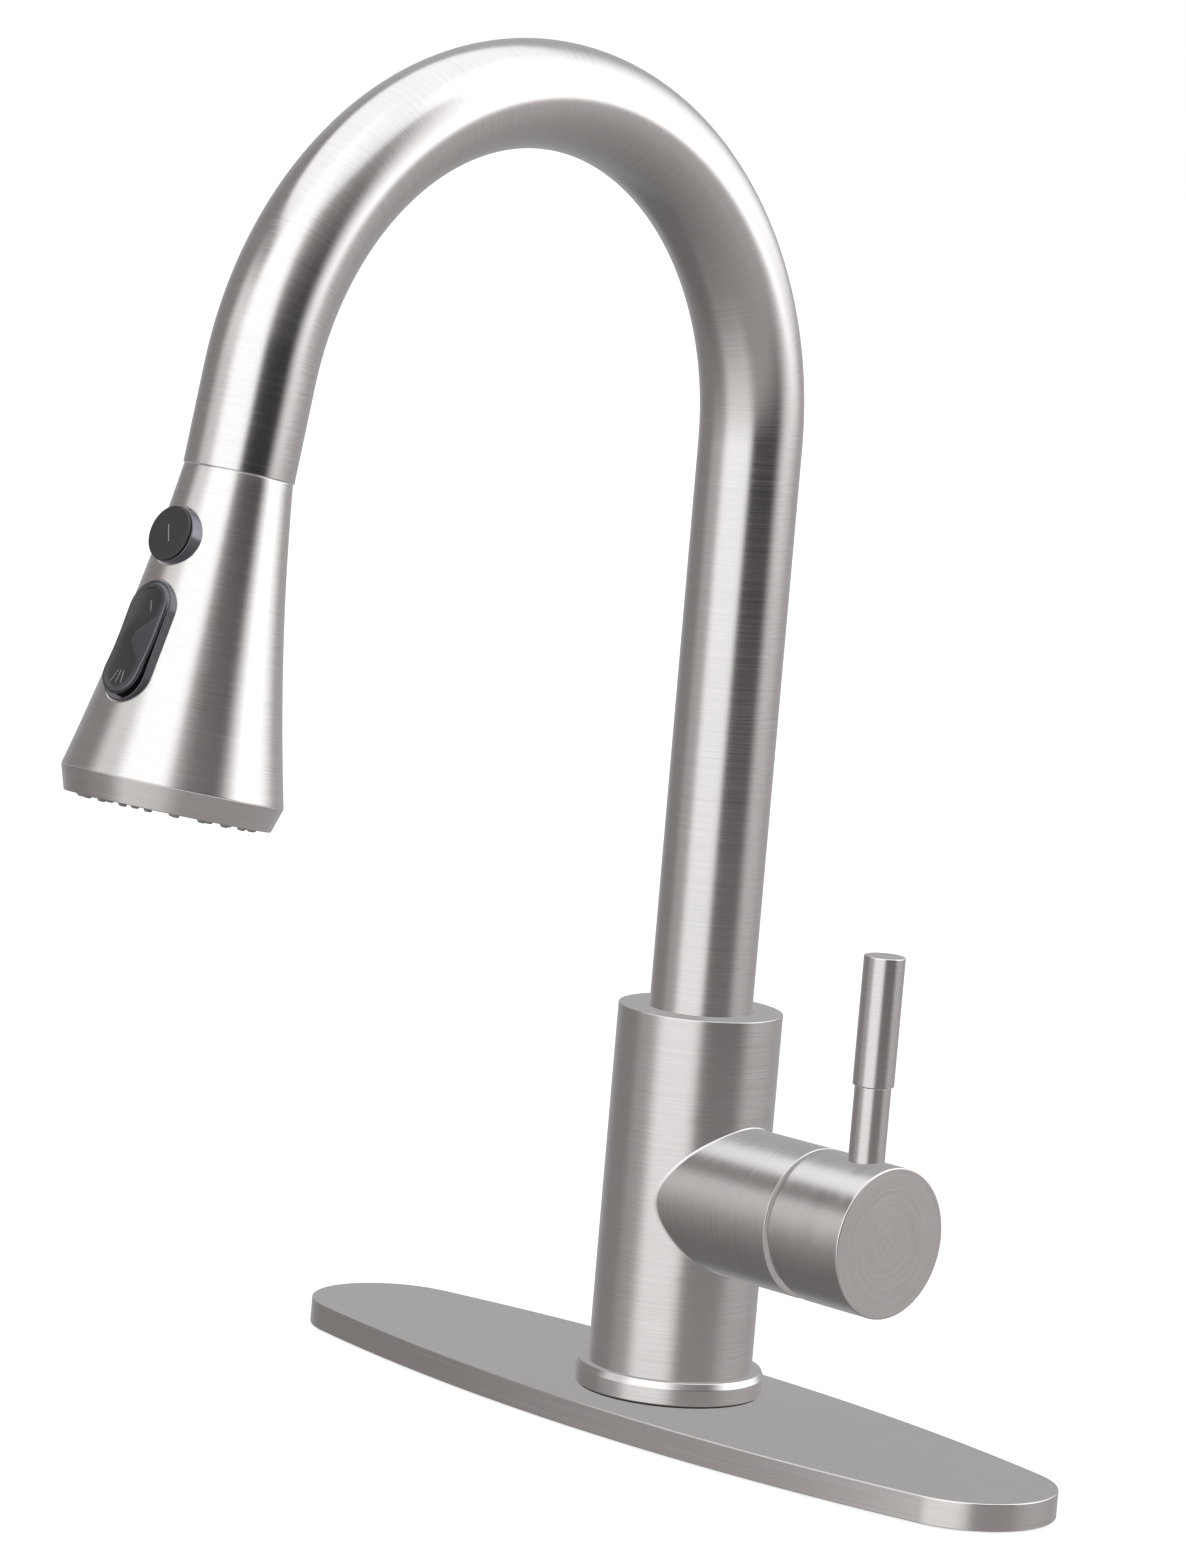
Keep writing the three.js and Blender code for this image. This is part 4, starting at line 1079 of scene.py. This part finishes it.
# ---------------- controls
def build_pause_button():
    """A round button whose face stands off its side by a narrow groove, with a matte black ring in it as
    painted shade.
    """
    groove_bottom = PAUSE_PROUD - 1.05
    face_bottom = PAUSE_PROUD - 0.38
    side = turned([
        (0, PAUSE_FLANGE_AT, 0),
        (PAUSE_FLANGE_RADIUS, PAUSE_FLANGE_AT, 0.2),
        (PAUSE_FLANGE_RADIUS, PAUSE_FLANGE_AT + 1.2, 0.2),
        (PAUSE_RADIUS, PAUSE_FLANGE_AT + 1.2, 0),
        (PAUSE_RADIUS, groove_bottom, 0.15),
        (0, groove_bottom, 0),
    ], MEDIUM_SIDES, PAUSE)
    piece("pause_button_side", side, LACQUER, "pause", ["pause_button"])
    # A near-black ring in the groove under the face: painted shade
    inner = PAUSE_RADIUS - 0.35
    groove = tube(0, inner, groove_bottom + 0.01, face_bottom - 0.01, MEDIUM_SIDES, PAUSE, SQUARE)
    piece("pause_button_groove_painted_shade", groove, SHADOW, "pause")
    rims = (0, 0.05, 0.28, 0)
    face = tube(0, PAUSE_RADIUS - 0.15, face_bottom, PAUSE_PROUD, MEDIUM_SIDES, PAUSE, rims, 4)
    piece("pause_button_face", face, CHARCOAL, "pause")
    tick = stroke_marks(PAUSE, [[(0.95, -2), (-0.95, 2)]], lambda x, y: PAUSE_PROUD, 0.13)
    piece("pause_icon", tick, ICON_INK, "pause")


def build_pause_spring():
    """A coil spring under the button, with flat end turns."""
    wire, coil, turns, sides, steps = 0.35, 4.3, 3, 10, 40
    bottom, top = SPRING_SEAT + wire, PAUSE_FLANGE_AT - 0.1 - wire
    up = Vector((0, 0, 1))
    shape = Shape(PAUSE)
    rings = []
    for i in range(steps * turns + 1):
        turned_by = 2 * pi * i / steps
        rise = min(max((i / steps - 0.5) / (turns - 1), 0), 1)
        out = Vector((cos(turned_by), sin(turned_by), 0))
        centre = out * coil + up * (bottom + (top - bottom) * rise)
        rings.append(shape.ring([centre + (out * cos(a) + up * sin(a)) * wire for a in bearings(sides)]))
    shape.join(rings, 2 * pi * wire)
    shape.cap(rings[0], rings[-1])
    spring = piece("pause_spring_coil", shape, PLAIN_STEEL, "spray_head", ["pause_spring"])
    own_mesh(spring)


def stroke_marks(place, strokes, height, half_width, proud=0.05):
    """Thin raised strokes that follow a surface height(x, y), each along a list of (x, y) points."""
    shape = Shape(place)
    for line in strokes:
        rings = []
        for i, (x, y) in enumerate(line):
            before, after = Vector(line[max(i - 1, 0)]), Vector(line[min(i + 1, len(line) - 1)])
            ahead = (after - before).normalized() * half_width
            left, right = (x - ahead.y, y + ahead.x), (x + ahead.y, y - ahead.x)
            corners = [(*left, -0.2), (*right, -0.2), (*right, proud), (*left, proud)]
            rings.append(shape.ring([(a, b, height(a, b) + rise) for a, b, rise in corners]))
        for a, b in zip(rings, rings[1:]):
            shape.strip(a, b, 1, 0, 1)
        shape.cap(rings[0], rings[-1])
    return shape


def pad_edge(radius, cap_steps=14, side_steps=36):
    """The right-hand edge of a stadium along Y, from its top to its bottom."""
    half = ROCKER_HALF_STRAIGHT
    cap = [(radius * sin(a), half + radius * cos(a)) for a in even(0, pi / 2, cap_steps)]
    side = [(radius, y) for y in even(half, -half, side_steps)[1:-1]]
    return cap + side + [(x, -y) for x, y in cap[::-1]]


def pad_height(y):
    """The rocker's rim above its pivot: it dips in the middle, so each end meets the thumb."""
    dip = PAD_DIP * cos(pi / 2 * min(abs(y) / PAD_DIP_REACH, 1)) ** 2
    return ROCKER_PROUD + ROCKER_PIVOT_DEPTH - dip


def pad_half_width(y):
    beyond = max(0.0, abs(y) - ROCKER_HALF_STRAIGHT)
    return sqrt(max(0.0, (ROCKER_RADIUS - PAD_RIM) ** 2 - beyond**2))


def scoop_span(y):
    """The two thumb scoops from side to side. A ridge comes in from the right and parts them."""
    wide, pinch = 5.1, -0.8
    beyond = abs(y) - ROCKER_HALF_STRAIGHT
    if beyond > wide:
        return 0.0, 0.0
    if beyond > 0:
        right = sqrt(wide**2 - beyond**2)
    else:
        right = pinch + (wide - pinch) * sin(pi / 2 * min(abs(y) / RIDGE_REACH, 1)) ** 2
    return -min(pad_half_width(y), 1.1 * right if beyond > 0 else ROCKER_RADIUS), right


def rocker_height(x, y):
    left, right = scoop_span(y)
    if not left < x < right:
        return pad_height(y)
    place = (2 * x - left - right) / (right - left)
    return pad_height(y) - SCOOP_DEPTH * (right - left) * (1 - place**4)


def build_rocker_pad():
    """The rocker's top. Rows of the face follow the scoops' rims, so that these stay crisp."""
    shape = Shape(ROCKER)
    around = 2 * pi * ROCKER_RADIUS + 4 * ROCKER_HALF_STRAIGHT
    skirt_top = ROCKER_PROUD + ROCKER_PIVOT_DEPTH - 1

    def ring(radius, below, flat=None):
        edge = pad_edge(radius)
        outline = edge + [(-x, y) for x, y in edge[-2:0:-1]]
        return shape.ring([(x, y, pad_height(y) - below if flat is None else flat) for x, y in outline])

    rings = [ring(ROCKER_RADIUS - 0.5, 0, skirt_top), ring(ROCKER_RADIUS, 0, skirt_top)]
    rings += [ring(ROCKER_RADIUS - inset, -z) for inset, z in quarter_round(0, PAD_RIM, 6)]
    shape.join(rings, around)

    def face_row(part, x, y):
        left, right = (max(-x, min(x, edge)) for edge in scoop_span(y))
        places = [-x, (left - x) / 2, *even(left, right, 12), (x + right) / 2, x]
        return part.ring([(a, y, rocker_height(a, y)) for a in places]), places, y

    scoops = Shape(ROCKER)
    for part, columns in ((shape, (0, 1, 14, 15)), (scoops, range(2, 14))):
        rows = [face_row(part, x, y) for x, y in pad_edge(ROCKER_RADIUS - PAD_RIM)]
        for (above, xs, y), (below, next_xs, next_y) in zip(rows, rows[1:]):
            for j in columns:
                brush = [(xs[j], y), (xs[j + 1], y), (next_xs[j + 1], next_y), (next_xs[j], next_y)]
                part.face([above[j], above[j + 1], below[j + 1], below[j]], brush)
    piece("mode_rocker_rim", shape, SATIN, "rocker", ["mode_rocker"])
    piece("mode_rocker_scoops", scoops, CHARCOAL, "rocker")


def build_rocker():
    surround = stacked(
        lambda inset: stadium(FRAME_RADIUS - inset, ROCKER_HALF_STRAIGHT),
        [(0, -5.4), *quarter_round(0.4, 0.2, 3), (0.4, 0.4), (0.52, 0.28), (0.52, -5.4)],
        ROCKER_FRAME, capped=False)
    piece("rocker_frame_moulded", surround, SATIN, "spray_head", ["rocker_frame"])
    build_rocker_pad()
    # A near-black skirt under the rocker's rim: painted shade in the gap between rocker and frame
    skirt_top = ROCKER_PROUD + ROCKER_PIVOT_DEPTH - 1.02
    skirt = stacked(
        lambda inset: stadium(ROCKER_RADIUS - inset, ROCKER_HALF_STRAIGHT),
        [(1.5, -2.6), (0.4, -2.6), (0.3, -2.5), (0.3, skirt_top)],
        ROCKER)
    piece("mode_rocker_skirt_painted_shade", skirt, SHADOW, "rocker")

    strokes = [[(1.1, 7.4), (-0.2, 10.2)]]
    for side in (-1, 0, 1):
        strokes.append([(side * (1.9 - 0.9 * t) - 0.4, -11.9 + 3.4 * t) for t in even(0, 1, 4)])
    icons = stroke_marks(ROCKER, strokes, rocker_height, 0.08)
    piece("rocker_icons", icons, ICON_INK, "rocker")


# ---------------- CAD nodes that keep their shape
def finish_cad_nodes():
    finishes = {
        "brass": BRASS,
        "plain_steel": PLAIN_STEEL,
        "black_plastic": BLACK,
        "white_plastic": WHITE,
        "ceramic": ALUMINA,
        "rubber": RUBBER,
        "silicone": SILICONE,
        "hose_nylon": BLACK,
        "brushed_metal": PLAIN_STEEL,
    }
    for part in frame["record"]["subparts"]:
        node = frame["nodes"][part["node"]]
        node.visible_glossy = False
        for slot in node.material_slots:
            slot.material = finishes[part["material_slot"]]


# ---------------- floor, light and camera
def build_floor():
    """A pale floor, bright enough to melt into the backdrop, with a faint shadow where the plate stands."""
    half, level = 12.0, -1e-4  # just clear of the gasket's underside
    mesh = bpy.data.meshes.new("floor")
    corners = [(-half, -half, level), (half, -half, level), (half, half, level), (-half, half, level)]
    mesh.from_pydata(corners, [], [(0, 1, 2, 3)])
    floor = link("floor", mesh)
    material, *_ = shader(
        "pale_floor", Base_Color=(0.4, 0.4, 0.4, 1), Roughness=0.9, Specular_IOR_Level=0.0,
        Emission_Color=(1, 1, 1, 1), Emission_Strength=0.72)
    mesh.materials.append(material)
    floor.visible_diffuse = False


class Studio:
    """The light round the object, as a world: soft panels over a mid-grey room."""

    def __init__(self):
        world = bpy.data.worlds.new("studio")
        bpy.context.scene.world = world
        world.use_nodes = True
        self.background = world.node_tree.nodes["Background"]
        self.nodes = Nodes(world.node_tree)
        self.math = self.nodes.math
        direction = self.nodes.add("ShaderNodeTexCoord").outputs["Generated"]
        across = self.dot(direction, (cos(CAMERA_AZIMUTH), sin(CAMERA_AZIMUTH), 0))
        toward = self.dot(direction, (sin(CAMERA_AZIMUTH), -cos(CAMERA_AZIMUTH), 0))
        angle = self.math("ARCTAN2", across, toward)
        self.azimuth = self.math("MULTIPLY", angle, degrees(1))
        rise = self.math("ARCSINE", self.dot(direction, (0, 0, 1)))
        self.elevation = self.math("MULTIPLY", rise, degrees(1))

    def dot(self, vector, axis):
        inputs = {0: vector, 1: axis}
        return self.nodes.add("ShaderNodeVectorMath", inputs, operation="DOT_PRODUCT").outputs["Value"]

    def edge(self, value, at, softness):
        return self.nodes.ramp(value, 0, 1, at - softness / 2, at + softness / 2, "SMOOTHSTEP")

    def within(self, value, limits, softness):
        """1 between two limits, each with its soft edge. A limit of None is open."""
        inside = []
        if limits[0] is not None:
            inside.append(self.edge(value, limits[0], softness[0]))
        if limits[1] is not None:
            inside.append(self.math("SUBTRACT", 1, self.edge(value, limits[1], softness[1])))
        return inside

    def light(self):
        """The brightness from each direction. Every panel in turn covers what is behind it."""
        light = ROOM_BRIGHTNESS
        for panel in PANELS:
            inside = self.within(self.azimuth, panel.azimuths, panel.side_softness)
            inside += self.within(self.elevation, panel.elevations, panel.end_softness)
            mask = inside[0]
            for factor in inside[1:]:
                mask = self.math("MULTIPLY", mask, factor)
            change = self.math("MULTIPLY", self.math("SUBTRACT", panel.brightness, light), mask)
            light = self.math("ADD", light, change)
        return light

    def build(self):
        """Dim parts of the room are slightly warm. The camera itself sees a plain white backdrop."""
        light = self.light()
        rear = self.edge(self.math("ABSOLUTE", self.azimuth), *REAR_EDGE)
        room = self.nodes.blend(rear, ROOM_TINT, REAR_TINT)
        tint = self.nodes.blend(self.nodes.ramp(light, 0, 1, *TINT_FADE), room, (1, 1, 1))
        backdrop = self.nodes.add("ShaderNodeLightPath").outputs["Is Camera Ray"]
        white = self.nodes.add("ShaderNodeBackground", {"Color": (1, 1, 1, 1), "Strength": 1.0}).outputs[0]
        self.nodes.tree.links.new(tint, self.background.inputs["Color"])
        self.nodes.tree.links.new(light, self.background.inputs["Strength"])
        inputs = {0: backdrop, 1: self.background.outputs[0], 2: white}
        mixed = self.nodes.add("ShaderNodeMixShader", inputs).outputs[0]
        self.nodes.tree.links.new(mixed, self.nodes.tree.nodes["World Output"].inputs["Surface"])


def build_camera():
    a, e, r = CAMERA_AZIMUTH, CAMERA_ELEVATION, CAMERA_ROLL
    back = Vector((sin(a) * cos(e), -cos(a) * cos(e), sin(e)))
    level = Vector((cos(a), sin(a), 0))
    upright = back.cross(level)
    right = level * cos(r) + upright * sin(r)
    up = upright * cos(r) - level * sin(r)
    data = bpy.data.cameras.new("camera")
    data.sensor_width = 36
    data.lens = CAMERA_LENS
    data.shift_x, data.shift_y = CAMERA_SHIFT
    data.clip_start, data.clip_end = 0.05, 50
    camera = link("camera", data)
    camera.matrix_world = (
        Matrix.Translation(CAMERA_TARGET + back * CAMERA_DISTANCE)
        @ Matrix((right, up, back)).transposed().to_4x4()
    )
    bpy.context.scene.camera = camera


build_camera()
Studio().build()
build_floor()
finish_cad_nodes()
build_deck_plate()
build_base_ring()
build_body()
build_handle_housing()
build_handle_cap()
build_bonnet()
build_lever()
build_spout()
build_hose()
build_hose_end()
build_head_shell()
build_spray_outlet()
build_pause_button()
build_pause_spring()
build_rocker()
bpy.context.scene.view_settings.view_transform = "Standard"
